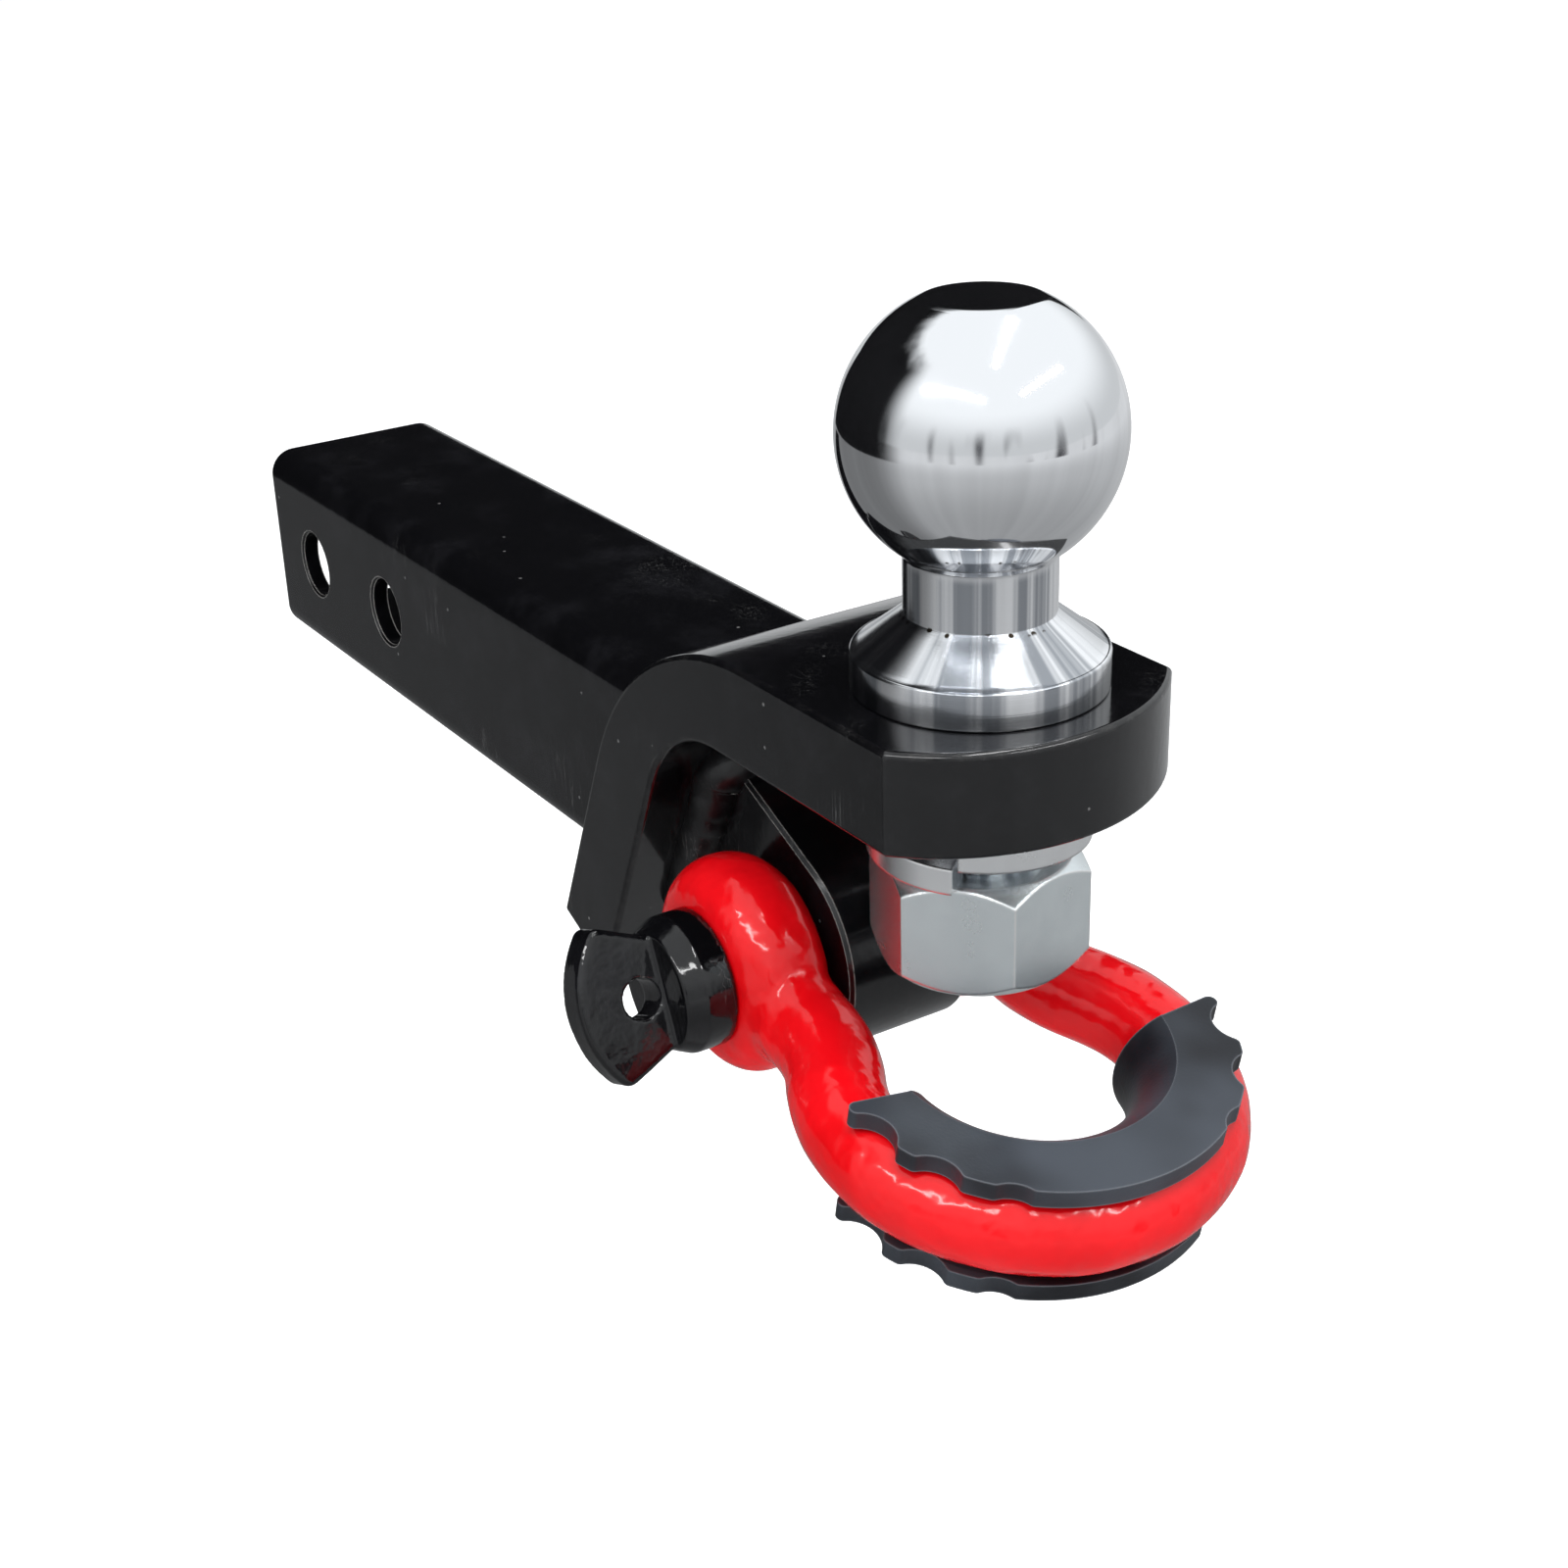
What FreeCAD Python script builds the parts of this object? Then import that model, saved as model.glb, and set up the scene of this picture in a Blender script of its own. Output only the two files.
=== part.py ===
import FreeCAD, Part
import math
import os
import Sketcher
from FreeCAD import Placement, Rotation, Vector

# Ball and shackle hitch for a 50 mm square receiver.
# Frame: origin on the axis of the forward hitch pin hole, in the middle of the shank;
# +X runs forward along the shank to the ball, +Y across, +Z up. Millimetres and degrees.

SIZES = [
    # square tube shank
    ("shankSize", 50.0),
    ("shankWall", 4.5),
    ("shankCorner", 6.5),
    ("shankInnerCorner", 3.0),
    ("shankTail", 70.0),
    ("shankEndRound", 1.0),
    ("pinHoleRadius", 8.5),
    ("pinHoleSpacing", 45.0),
    ("pinHoleBevel", 0.6),
    # bar bent into the tongue and the sloping leg
    ("plateThickness", 20.0),
    ("plateWidth", 64.0),
    ("plateEdgeRound", 1.2),
    ("bendInsideRadius", 28.0),
    ("bendOutsideRadius", 65.5),
    ("legSlant", 24.6),
    ("legCrossing", 120.0),
    ("legLength", 42.2),
    ("frontRadius", 42.0),
    ("frontSetback", 12.0),
    # shackle lug welded to the leg
    ("lugWidth", 30.0),
    ("lugRadius", 23.0),
    ("lugEdgeBevel", 0.8),
    ("pinReach", 34.6),
    ("pinDrop", 1.2),
    ("lugBoreClearance", 0.3),
    # weld beads
    ("shankBead", 4.4),
    ("lugBead", 6.5),
    ("lugBeadRound", 0.92),
    # hitch ball, one forging
    ("ballReach", 213.0),
    ("ballRadius", 25.4),
    ("ballHeight", 46.4),
    ("ballFlat", 23.3),
    ("neckRadius", 13.8),
    ("neckBase", 13.8),
    ("neckBlend", 1.5),
    ("flangeRadius", 23.4),
    ("flangeHeight", 7.2),
    ("flangeLip", 0.8),
    ("ballShankRadius", 12.0),
    ("ballShankLength", 56.5),
    ("ballShankBevel", 1.5),
    ("ballHoleClearance", 0.25),
    # nut and spring washer
    ("nutStandOff", 12.9),
    ("nutAcrossFlats", 36.5),
    ("nutHeight", 22.1),
    ("nutBevel", 3.0),
    ("nutFaceMargin", 0.6),
    ("nutTurn", 41.0),
    ("nutClearance", 0.05),
    ("washerThickness", 5.1),
    ("washerOuter", 20.9),
    ("washerSplitAngle", -49.0),
    ("washerSplitGap", 3.0),
    ("washerClearance", 0.3),
    ("washerStretch", 4.8),
    # bow shackle
    ("shackleTilt", 11.5),
    ("barRadius", 9.5),
    ("jawWidth", 31.4),
    ("earThickness", 19.9),
    ("earRadius", 22.5),
    ("earRound", 9.2),
    ("bowRadius", 34.7),
    ("bowFlare", 32.0),
    ("bowCentre", 57.5),
    ("earBlendLength", 24.0),
    ("earBlendHeight", 17.5),
    ("earBlendRound", 5.0),
    # screw pin
    ("pinRadius", 11.0),
    ("nearEarClearance", 0.3),
    ("farEarClearance", 0.05),
    ("pinEndProud", 1.0),
    ("pinEndBevel", 1.5),
    ("collarRadius", 14.4),
    ("collarLength", 10.4),
    ("collarBevel", 2.1),
    ("collarBevelLength", 4.2),
    ("collarRound", 1.8),
    ("collarGap", 0.3),
    ("tabTurn", 67.6),
    ("tabThickness", 8.0),
    ("tabNeck", 11.5),
    ("tabTip", 16.4),
    ("tabTipReach", 11.7),
    ("tabReach", 18.3),
    ("tabEyeRadius", 4.0),
    ("tabEyeReach", 4.8),
    ("tabCornerRound", 2.4),
    ("tabEdgeRound", 1.0),
    # bow isolator
    ("isolatorGap", 0.2),
    ("isolatorFlange", 3.8),
    ("isolatorWeb", 4.2),
    ("isolatorLipInner", 28.0),
    ("isolatorLipOuter", 40.7),
    ("isolatorEnd", 4.2),
    ("isolatorEndTilt", 7.0),
    ("isolatorWebEnd", 2.4),
    ("isolatorShift", 5.0),
    ("scallopRadius", 6.0),
    ("scallopDepth", 1.2),
    ("scallopDeepening", 1.2),
    ("scallopFirst", 35.2),
    ("scallopPitch", 19.7),
    ("scallopCount", 3),
    ("scallopRound", 1.5),
]

doc = FreeCAD.newDocument("hitch")
sheet = doc.addObject("Spreadsheet::Sheet", "sizes")
for row, (alias, amount) in enumerate(SIZES, start=1):
    sheet.set("A%d" % row, alias)
    sheet.set("B%d" % row, str(amount))
    sheet.setAlias("B%d" % row, alias)
doc.recompute()


def text(expression):
    """Write an expression on the sheet's aliases with the sheet's name in front of each."""
    for alias in sorted((name for name, amount in SIZES), key=len, reverse=True):
        expression = expression.replace("<%s>" % alias, "sizes.%s" % alias)
    return expression


def value(expression):
    result = sheet.evalExpression(text(expression))
    return float(getattr(result, "Value", result))


def bind(thing, prop, expression):
    thing.setExpression(prop, text(expression))


def makeBody(label):
    body = doc.addObject("PartDesign::Body", label)
    body.Label = label
    return body


def makeSketch(body, name, role):
    sketch = body.newObject("Sketcher::SketchObject", name)
    plane = [f for f in body.Origin.OriginFeatures if f.Role == role][0]
    sketch.AttachmentSupport = [(plane, "")]
    sketch.MapMode = "FlatFace"
    return sketch


def arcBetween(start, end, radius, turn):
    """Minor arc from start to end, turning left (+1) or right (-1) on the way."""
    chord = end.sub(start)
    middle = start.add(end).multiply(0.5)
    side = Vector(-chord.y, chord.x, 0).normalize()
    reach = math.sqrt(max(radius ** 2 - (chord.Length / 2) ** 2, 0))
    centre = middle.add(side.multiply(turn * reach))
    first, last = (start, end) if turn > 0 else (end, start)
    from_angle = math.atan2(first.y - centre.y, first.x - centre.x)
    to_angle = math.atan2(last.y - centre.y, last.x - centre.x)
    if to_angle < from_angle:
        to_angle += 2 * math.pi
    circle = Part.Circle(centre, Vector(0, 0, 1), radius)
    return Part.ArcOfCircle(circle, from_angle, to_angle)


def addOutline(sketch, corners, arcs=None, closed=True):
    """Chain of lines and arcs through corners given as pairs of expressions.

    arcs holds, for the span after a corner, its radius expression and its turn.
    """
    arcs = arcs or {}
    points = [Vector(value(x), value(y), 0) for x, y in corners]
    spans = len(points) if closed else len(points) - 1
    tag = "g%d" % sketch.GeometryCount
    ends = []
    for i in range(spans):
        start = points[i]
        end = points[(i + 1) % len(points)]
        if i in arcs:
            radius, turn = arcs[i]
            geo = sketch.addGeometry(arcBetween(start, end, value(radius), turn), False)
            ends.append((geo, 1, 2) if turn > 0 else (geo, 2, 1))
            sketch.addConstraint(Sketcher.Constraint("Radius", geo, value(radius)))
            sketch.renameConstraint(sketch.ConstraintCount - 1, "%sr%d" % (tag, i))
            bind(sketch, "Constraints.%sr%d" % (tag, i), radius)
        else:
            geo = sketch.addGeometry(Part.LineSegment(start, end), False)
            ends.append((geo, 1, 2))
    for i in range(spans):
        after = (i + 1) % spans
        if closed or after:
            sketch.addConstraint(Sketcher.Constraint("Coincident", ends[i][0], ends[i][2],
                                                     ends[after][0], ends[after][1]))
    for i, (x, y) in enumerate(corners):
        geo, pos = (ends[i][0], ends[i][1]) if i < spans else (ends[-1][0], ends[-1][2])
        for kind, axis, expression in (("DistanceX", "x", x), ("DistanceY", "y", y)):
            name = "%s%s%d" % (tag, axis, i)
            amount = value(expression)
            sketch.addConstraint(Sketcher.Constraint(kind, -1, 1, geo, pos, amount))
            sketch.renameConstraint(sketch.ConstraintCount - 1, name)
            bind(sketch, "Constraints.%s" % name, expression)


def addCircle(sketch, x, y, radius):
    tag = "g%d" % sketch.GeometryCount
    centre = Vector(value(x), value(y), 0)
    geo = sketch.addGeometry(Part.Circle(centre, Vector(0, 0, 1), value(radius)), False)
    sketch.addConstraint(Sketcher.Constraint("Radius", geo, value(radius)))
    sketch.renameConstraint(sketch.ConstraintCount - 1, tag + "r")
    bind(sketch, "Constraints.%sr" % tag, radius)
    for kind, axis, expression in (("DistanceX", "x", x), ("DistanceY", "y", y)):
        sketch.addConstraint(Sketcher.Constraint(kind, -1, 1, geo, 3, value(expression)))
        sketch.renameConstraint(sketch.ConstraintCount - 1, tag + axis)
        bind(sketch, "Constraints.%s%s" % (tag, axis), expression)


def addUprightEllipse(sketch, x, height, width):
    """Ellipse on the sketch's horizontal axis; height and width are its two half axes."""
    centre = Vector(value(x), 0, 0)
    top = centre.add(Vector(0, value(height), 0))
    side = centre.add(Vector(value(width), 0, 0))
    geo = sketch.addGeometry(Part.Ellipse(top, side, centre), False)
    sketch.exposeInternalGeometry(geo)
    tall, wide = geo + 1, geo + 2
    sketch.addConstraint(Sketcher.Constraint("Vertical", tall))
    settings = [("Distance", (tall, 2 * value(height)), "2 * " + height, "tall"),
                ("Distance", (wide, 2 * value(width)), "2 * " + width, "wide"),
                ("DistanceX", (-1, 1, geo, 3, centre.x), x, "middle"),
                ("DistanceY", (-1, 1, geo, 3, 0), "0", "level")]
    for kind, arguments, expression, name in settings:
        sketch.addConstraint(Sketcher.Constraint(kind, *arguments))
        sketch.renameConstraint(sketch.ConstraintCount - 1, name)
        bind(sketch, "Constraints.%s" % name, expression)


def addRoundedSquare(sketch, half, corner):
    """Square outline centred on the sketch, its corners rounded."""
    inner = "(%s - %s)" % (half, corner)
    corners = [(inner, "-(%s)" % half), (half, "-" + inner), (half, inner), (inner, half),
               ("-" + inner, half), ("-(%s)" % half, inner), ("-(%s)" % half, "-" + inner),
               ("-" + inner, "-(%s)" % half)]
    addOutline(sketch, corners, {0: (corner, 1), 2: (corner, 1), 4: (corner, 1), 6: (corner, 1)})


def addFeature(body, kind, name, sketch, **settings):
    feature = body.newObject("PartDesign::" + kind, name)
    feature.Profile = sketch
    for key, setting in settings.items():
        setattr(feature, key, setting)
    return feature


def pocketThrough(body, name, sketch):
    return addFeature(body, "Pocket", name, sketch, Type="ThroughAll", Midplane=True)


def dressEdges(body, kind, name, choose, expression, prop):
    """Fillet or chamfer the edges of the body's tip that choose() accepts."""
    doc.recompute()
    base = body.Tip
    names = ["Edge%d" % (i + 1) for i, edge in enumerate(base.Shape.Edges) if choose(edge)]
    feature = body.newObject("PartDesign::" + kind, name)
    feature.Base = (base, names)
    bind(feature, prop, expression)
    return feature


def near(a, b, tolerance=0.01):
    return abs(a - b) < tolerance


def isCircle(edge, radius):
    return isinstance(edge.Curve, Part.Circle) and near(edge.Curve.Radius, value(radius))


# Shared places, as expressions on the sheet

TONGUE_UNDER = "(<shankSize> / 2)"
TONGUE_TOP = "(%s + <plateThickness>)" % TONGUE_UNDER
NUT_TOP = "(%s - <nutStandOff>)" % TONGUE_UNDER
SIN = "sin(<legSlant> * 1deg)"
COS = "cos(<legSlant> * 1deg)"
PIN_X = ("(<legCrossing> + (<plateThickness> + <pinReach>) * %s - <pinDrop> * %s)" % (COS, SIN))
PIN_Z = ("(-(<plateThickness> + <pinReach>) * %s - <pinDrop> * %s)" % (SIN, COS))
HALF_TURN = "tan((90 - <legSlant>) / 2 * 1deg)"
FRONT_CENTRE = "(<ballReach> - <frontSetback>)"
FRONT_CORNER = "(%s + sqrt(<frontRadius> ^ 2 - (<plateWidth> / 2) ^ 2))" % FRONT_CENTRE
EAR_INNER = "(<jawWidth> / 2)"
EAR_OUTER = "(<jawWidth> / 2 + <earThickness>)"
EAR_MIDDLE = "(<jawWidth> / 2 + <earThickness> / 2)"


def slopePoint(along, across):
    """Point of the XZ plane, along the leg downwards from the shank axis and across it."""
    x = "(<legCrossing> - (%s) * %s + (%s) * %s)" % (along, SIN, across, COS)
    z = "(-(%s) * %s - (%s) * %s)" % (along, COS, across, SIN)
    return x, z


def alongAtHeight(height, across):
    """Distance along the leg at which a line at this depth reaches a height."""
    return "(-((%s) + (%s) * %s) / %s)" % (height, across, SIN, COS)


# where the straight leg ends at the outside and the inside of the bend, along the leg
OUTER_TANGENT = "(%s + <bendOutsideRadius> * %s)" % (alongAtHeight(TONGUE_TOP, "0"), HALF_TURN)
INNER_TANGENT = "(%s + <bendInsideRadius> * %s)" % (
    alongAtHeight(TONGUE_UNDER, "<plateThickness>"), HALF_TURN)
# where the flat tongue starts at the outside of the bend
BEND_X = "(%s + <bendOutsideRadius> * %s)" % (
    slopePoint(alongAtHeight(TONGUE_TOP, "0"), "0")[0], HALF_TURN)


def makeBentPlate():
    body = makeBody("bent_plate")
    profile = makeSketch(body, "plateProfile", "XZ_Plane")
    inside = "<bendInsideRadius>"
    outside = "<bendOutsideRadius>"
    # the bend turns through 90 degrees less the slant, so each tangent length is r * tan(turn / 2)
    low_corner = slopePoint(alongAtHeight(TONGUE_UNDER, "<plateThickness>"), "<plateThickness>")
    out_top = (BEND_X, TONGUE_TOP)
    out_leg = slopePoint(OUTER_TANGENT, "0")
    in_top = ("(%s + %s * %s)" % (low_corner[0], inside, HALF_TURN), TONGUE_UNDER)
    in_leg = slopePoint(INNER_TANGENT, "<plateThickness>")
    front = "(%s + <frontRadius>)" % FRONT_CENTRE
    corners = [(front, TONGUE_UNDER), (front, TONGUE_TOP), out_top, out_leg,
               slopePoint("<legLength>", "0"), slopePoint("<legLength>", "<plateThickness>"), in_leg, in_top]
    addOutline(profile, corners, {2: (outside, 1), 6: (inside, -1)})
    pad = addFeature(body, "Pad", "plateBar", profile, Midplane=True)
    bind(pad, "Length", "<plateWidth>")

    # convex front edge
    trim = makeSketch(body, "frontTrim", "XY_Plane")
    half = "(<plateWidth> / 2)"
    beyond = "(<plateWidth> * 0.7)"
    ahead = "(%s + <frontRadius> * 1.2)" % FRONT_CENTRE
    addOutline(trim, [(FRONT_CORNER, half), (FRONT_CORNER, beyond), (ahead, beyond), (ahead, "-" + beyond),
                      (FRONT_CORNER, "-" + beyond), (FRONT_CORNER, "-" + half),
                      ("(%s + <frontRadius>)" % FRONT_CENTRE, "0")],
               {5: ("<frontRadius>", 1), 6: ("<frontRadius>", 1)})
    pocketThrough(body, "frontCut", trim)
    dressEdges(body, "Fillet", "plateRound", lambda edge: True, "<plateEdgeRound>", "Radius")
    hole = makeSketch(body, "ballHole", "XY_Plane")
    addCircle(hole, "<ballReach>", "0", "(<ballShankRadius> + <ballHoleClearance>)")
    pocketThrough(body, "ballHoleCut", hole)
    return body


def makeShank():
    body = makeBody("shank_tube")
    section = makeSketch(body, "shankSection", "YZ_Plane")
    bind(section, "AttachmentOffset.Base.z", "-<shankTail>")
    addRoundedSquare(section, "(<shankSize> / 2)", "<shankCorner>")
    addRoundedSquare(section, "(<shankSize> / 2 - <shankWall>)", "<shankInnerCorner>")
    pad = addFeature(body, "Pad", "shankBar", section)
    bind(pad, "Length", "<shankTail> + <legCrossing> + <shankSize>")
    # front end cut to the leg and to the start of the bend above it
    trim = makeSketch(body, "slopeTrim", "XZ_Plane")
    ahead = "(<legCrossing> + 2 * <shankSize>)"
    low = slopePoint("<shankSize>", "0")
    high = "(<shankSize> / 2 + <plateThickness> / 10)"
    bend_height = "(%s - <bendOutsideRadius>)" % TONGUE_TOP
    bend_x = "(%s - sqrt(<bendOutsideRadius> ^ 2 - (%s - %s) ^ 2))" % (BEND_X, high, bend_height)
    corners = [low, (ahead, low[1]), (ahead, high), (bend_x, high), slopePoint(OUTER_TANGENT, "0")]
    addOutline(trim, corners, {3: ("<bendOutsideRadius>", 1)})
    pocketThrough(body, "slopeCut", trim)
    holes = makeSketch(body, "pinHoles", "XZ_Plane")
    addCircle(holes, "0", "0", "<pinHoleRadius>")
    addCircle(holes, "-<pinHoleSpacing>", "0", "<pinHoleRadius>")
    pocketThrough(body, "pinHoleCut", holes)
    half = value("<shankSize> / 2")
    dressEdges(body, "Chamfer", "pinHoleBevels",
               lambda edge: isCircle(edge, "<pinHoleRadius>") and near(abs(edge.CenterOfMass.y), half),
               "<pinHoleBevel>", "Size")
    tail = -value("<shankTail>")
    dressEdges(body, "Fillet", "tailRound", lambda edge: near(edge.BoundBox.XMax, tail, 0.05),
               "<shankEndRound>", "Radius")
    return body


def makeLug():
    body = makeBody("shackle_lug")
    profile = makeSketch(body, "lugProfile", "XZ_Plane")
    across = "(<plateThickness> + <pinReach>)"
    # the root sits on the leg and, at its top, in the start of the bend
    top = "(<pinDrop> - <lugRadius>)"
    rise = "(%s - %s)" % (INNER_TANGENT, top)
    inside = "<bendInsideRadius>"
    bend = "(<plateThickness> + %s - sqrt(%s ^ 2 - %s ^ 2))" % (inside, inside, rise)
    corners = [slopePoint(top, bend), slopePoint(INNER_TANGENT, "<plateThickness>"),
               slopePoint("<pinDrop> + <lugRadius>", "<plateThickness>"),
               slopePoint("<pinDrop> + <lugRadius>", across),
               slopePoint("<pinDrop>", across + " + <lugRadius>"),
               slopePoint("<pinDrop> - <lugRadius>", across)]
    addOutline(profile, corners, {0: (inside, 1), 3: ("<lugRadius>", 1), 4: ("<lugRadius>", 1)})
    pad = addFeature(body, "Pad", "lugBlock", profile, Midplane=True)
    bind(pad, "Length", "<lugWidth>")
    half = value("<lugWidth> / 2")
    root_x, root_z = (value(c) for c in slopePoint("<pinDrop>", "<plateThickness>"))
    slant = math.radians(value("<legSlant>"))
    clear = value("<lugBead>")

    def bevelled(edge):
        """The edges of the two sides, apart from the foot under the weld."""
        spot = edge.CenterOfMass
        out = (spot.x - root_x) * math.cos(slant) - (spot.z - root_z) * math.sin(slant)
        return near(abs(spot.y), half) and out > clear
    dressEdges(body, "Chamfer", "lugBevel", bevelled, "<lugEdgeBevel>", "Size")
    bore = makeSketch(body, "lugBore", "XZ_Plane")
    addCircle(bore, PIN_X, PIN_Z, "(<pinRadius> + <lugBoreClearance>)")
    pocketThrough(body, "lugBoreCut", bore)
    return body


def makeHitchBall():
    body = makeBody("hitch_ball")
    profile = makeSketch(body, "ballProfile", "XZ_Plane")
    bind(profile, "AttachmentOffset.Base.x", "<ballReach>")
    bottom = "(%s - <ballShankLength>)" % TONGUE_TOP
    centre = "(%s + <ballHeight>)" % TONGUE_TOP
    neck_top = "(%s - sqrt(<ballRadius> ^ 2 - <neckRadius> ^ 2))" % centre
    flat = "(%s + <ballFlat>)" % centre
    flat_radius = "sqrt(<ballRadius> ^ 2 - <ballFlat> ^ 2)"
    corners = [("0", bottom), ("(<ballShankRadius> - <ballShankBevel>)", bottom),
               ("<ballShankRadius>", "(%s + <ballShankBevel>)" % bottom), ("<ballShankRadius>", TONGUE_TOP),
               ("<flangeRadius>", TONGUE_TOP), ("<flangeRadius>", "(%s + <flangeHeight>)" % TONGUE_TOP),
               ("(<flangeRadius> - <flangeLip>)", "(%s + <flangeHeight>)" % TONGUE_TOP),
               ("<neckRadius>", "(%s + <neckBase>)" % TONGUE_TOP), ("<neckRadius>", neck_top),
               (flat_radius, flat), ("0", flat)]
    addOutline(profile, corners, {8: ("<ballRadius>", 1)})
    turned = addFeature(body, "Revolution", "ballTurned", profile, ReferenceAxis=(profile, ["V_Axis"]))
    turned.Angle = 360
    join = value(neck_top)
    dressEdges(body, "Fillet", "neckFillet",
               lambda edge: isCircle(edge, "<neckRadius>") and near(edge.CenterOfMass.z, join),
               "<neckBlend>", "Radius")
    return body


def makeNut():
    body = makeBody("hex_nut")
    top = NUT_TOP
    corner = "(<nutAcrossFlats> / 2 / cos(30deg))"
    blank = makeSketch(body, "nutBlank", "XY_Plane")
    bind(blank, "AttachmentOffset.Base.z", top + " - <nutHeight>")
    corners = []
    for step in range(6):
        angle = "((<nutTurn> + %d) * 1deg)" % (60 * step)
        corners.append(("(<ballReach> + %s * cos%s)" % (corner, angle), "(%s * sin%s)" % (corner, angle)))
    addOutline(blank, corners)
    addCircle(blank, "<ballReach>", "0", "(<ballShankRadius> + <nutClearance>)")
    pad = addFeature(body, "Pad", "nutBar", blank)
    bind(pad, "Length", "<nutHeight>")
    # both faces bevelled, which leaves a curved edge on each flat
    bevel = makeSketch(body, "nutBevelProfile", "XZ_Plane")
    bind(bevel, "AttachmentOffset.Base.x", "<ballReach>")
    face = "(<nutAcrossFlats> / 2 - <nutFaceMargin>)"
    outside = "(%s * 1.1)" % corner
    fall = "((%s - %s) * <nutBevel> / (%s - %s))" % (outside, face, corner, face)
    bottom = "(%s - <nutHeight>)" % top
    addOutline(bevel, [(face, top), (outside, "(%s - %s)" % (top, fall)), (outside, "(%s + 1)" % top),
                       (face, "(%s + 1)" % top)])
    addOutline(bevel, [(face, bottom), (face, "(%s - 1)" % bottom), (outside, "(%s - 1)" % bottom),
                       (outside, "(%s + %s)" % (bottom, fall))])
    groove = addFeature(body, "Groove", "nutBevelCut", bevel, ReferenceAxis=(bevel, ["V_Axis"]))
    groove.Angle = 360
    return body


def makeLockWasher():
    body = makeBody("lock_washer")
    section = makeSketch(body, "washerSection", "XZ_Plane")
    inner = "(<ballShankRadius> + <washerClearance>)"
    start = NUT_TOP
    addOutline(section, [(inner, start), ("<washerOuter>", start),
                         ("<washerOuter>", "(%s + <washerThickness>)" % start),
                         (inner, "(%s + <washerThickness>)" % start)])
    coil = body.newObject("PartDesign::AdditiveHelix", "washerCoil")
    coil.Profile = section
    coil.ReferenceAxis = (section, ["V_Axis"])
    coil.Mode = "height-turns-angle"
    coil.LeftHanded = True
    bind(coil, "Height", "<washerStretch>")
    bind(coil, "Turns", "(360 - <washerSplitGap>) / 360")
    bind(body, "Placement.Base.x", "<ballReach>")
    body.Placement = Placement(Vector(value("<ballReach>"), 0, 0),
                               Rotation(Vector(0, 0, 1), value("<washerSplitAngle> - <washerSplitGap> / 2")))
    bind(body, "Placement.Rotation.Angle", "(<washerSplitAngle> - <washerSplitGap> / 2) * 1deg")
    return body


# Shackle pieces are drawn with the pin axis as their own Y axis and the bow along their own X axis


def placeOnPin(body, tilt, along="0", turn="0"):
    """Carry a piece to the pin axis, dipped by tilt; along and turn move it in the plane of the bow."""
    dip = "rotation(vector(0; 1; 0); %s * 1deg)" % tilt
    swing = "rotation(vector(0; 0; 1); %s * 1deg)" % turn
    spot = "vector(%s + %s * cos(%s * 1deg); 0; %s - %s * sin(%s * 1deg))" % (
        PIN_X, along, tilt, PIN_Z, along, tilt)
    bind(body, "Placement", "placement(%s; %s * %s)" % (spot, dip, swing))


def turnBar(body, name, plane, angle, reverse=False, midplane=False, **centre):
    """One bend of the bar: its round section turned about an upright line beside it."""
    section = makeSketch(body, name + "Section", plane)
    radius = centre.pop("radius")
    for axis, place in centre.items():
        bind(section, "AttachmentOffset.Base." + axis, place)
    addCircle(section, radius, "0", "<barRadius>")
    bend = addFeature(body, "Revolution", name, section, ReferenceAxis=(section, ["V_Axis"]))
    bend.Midplane = midplane
    bend.Reversed = reverse
    bind(bend, "Angle", angle)


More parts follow.
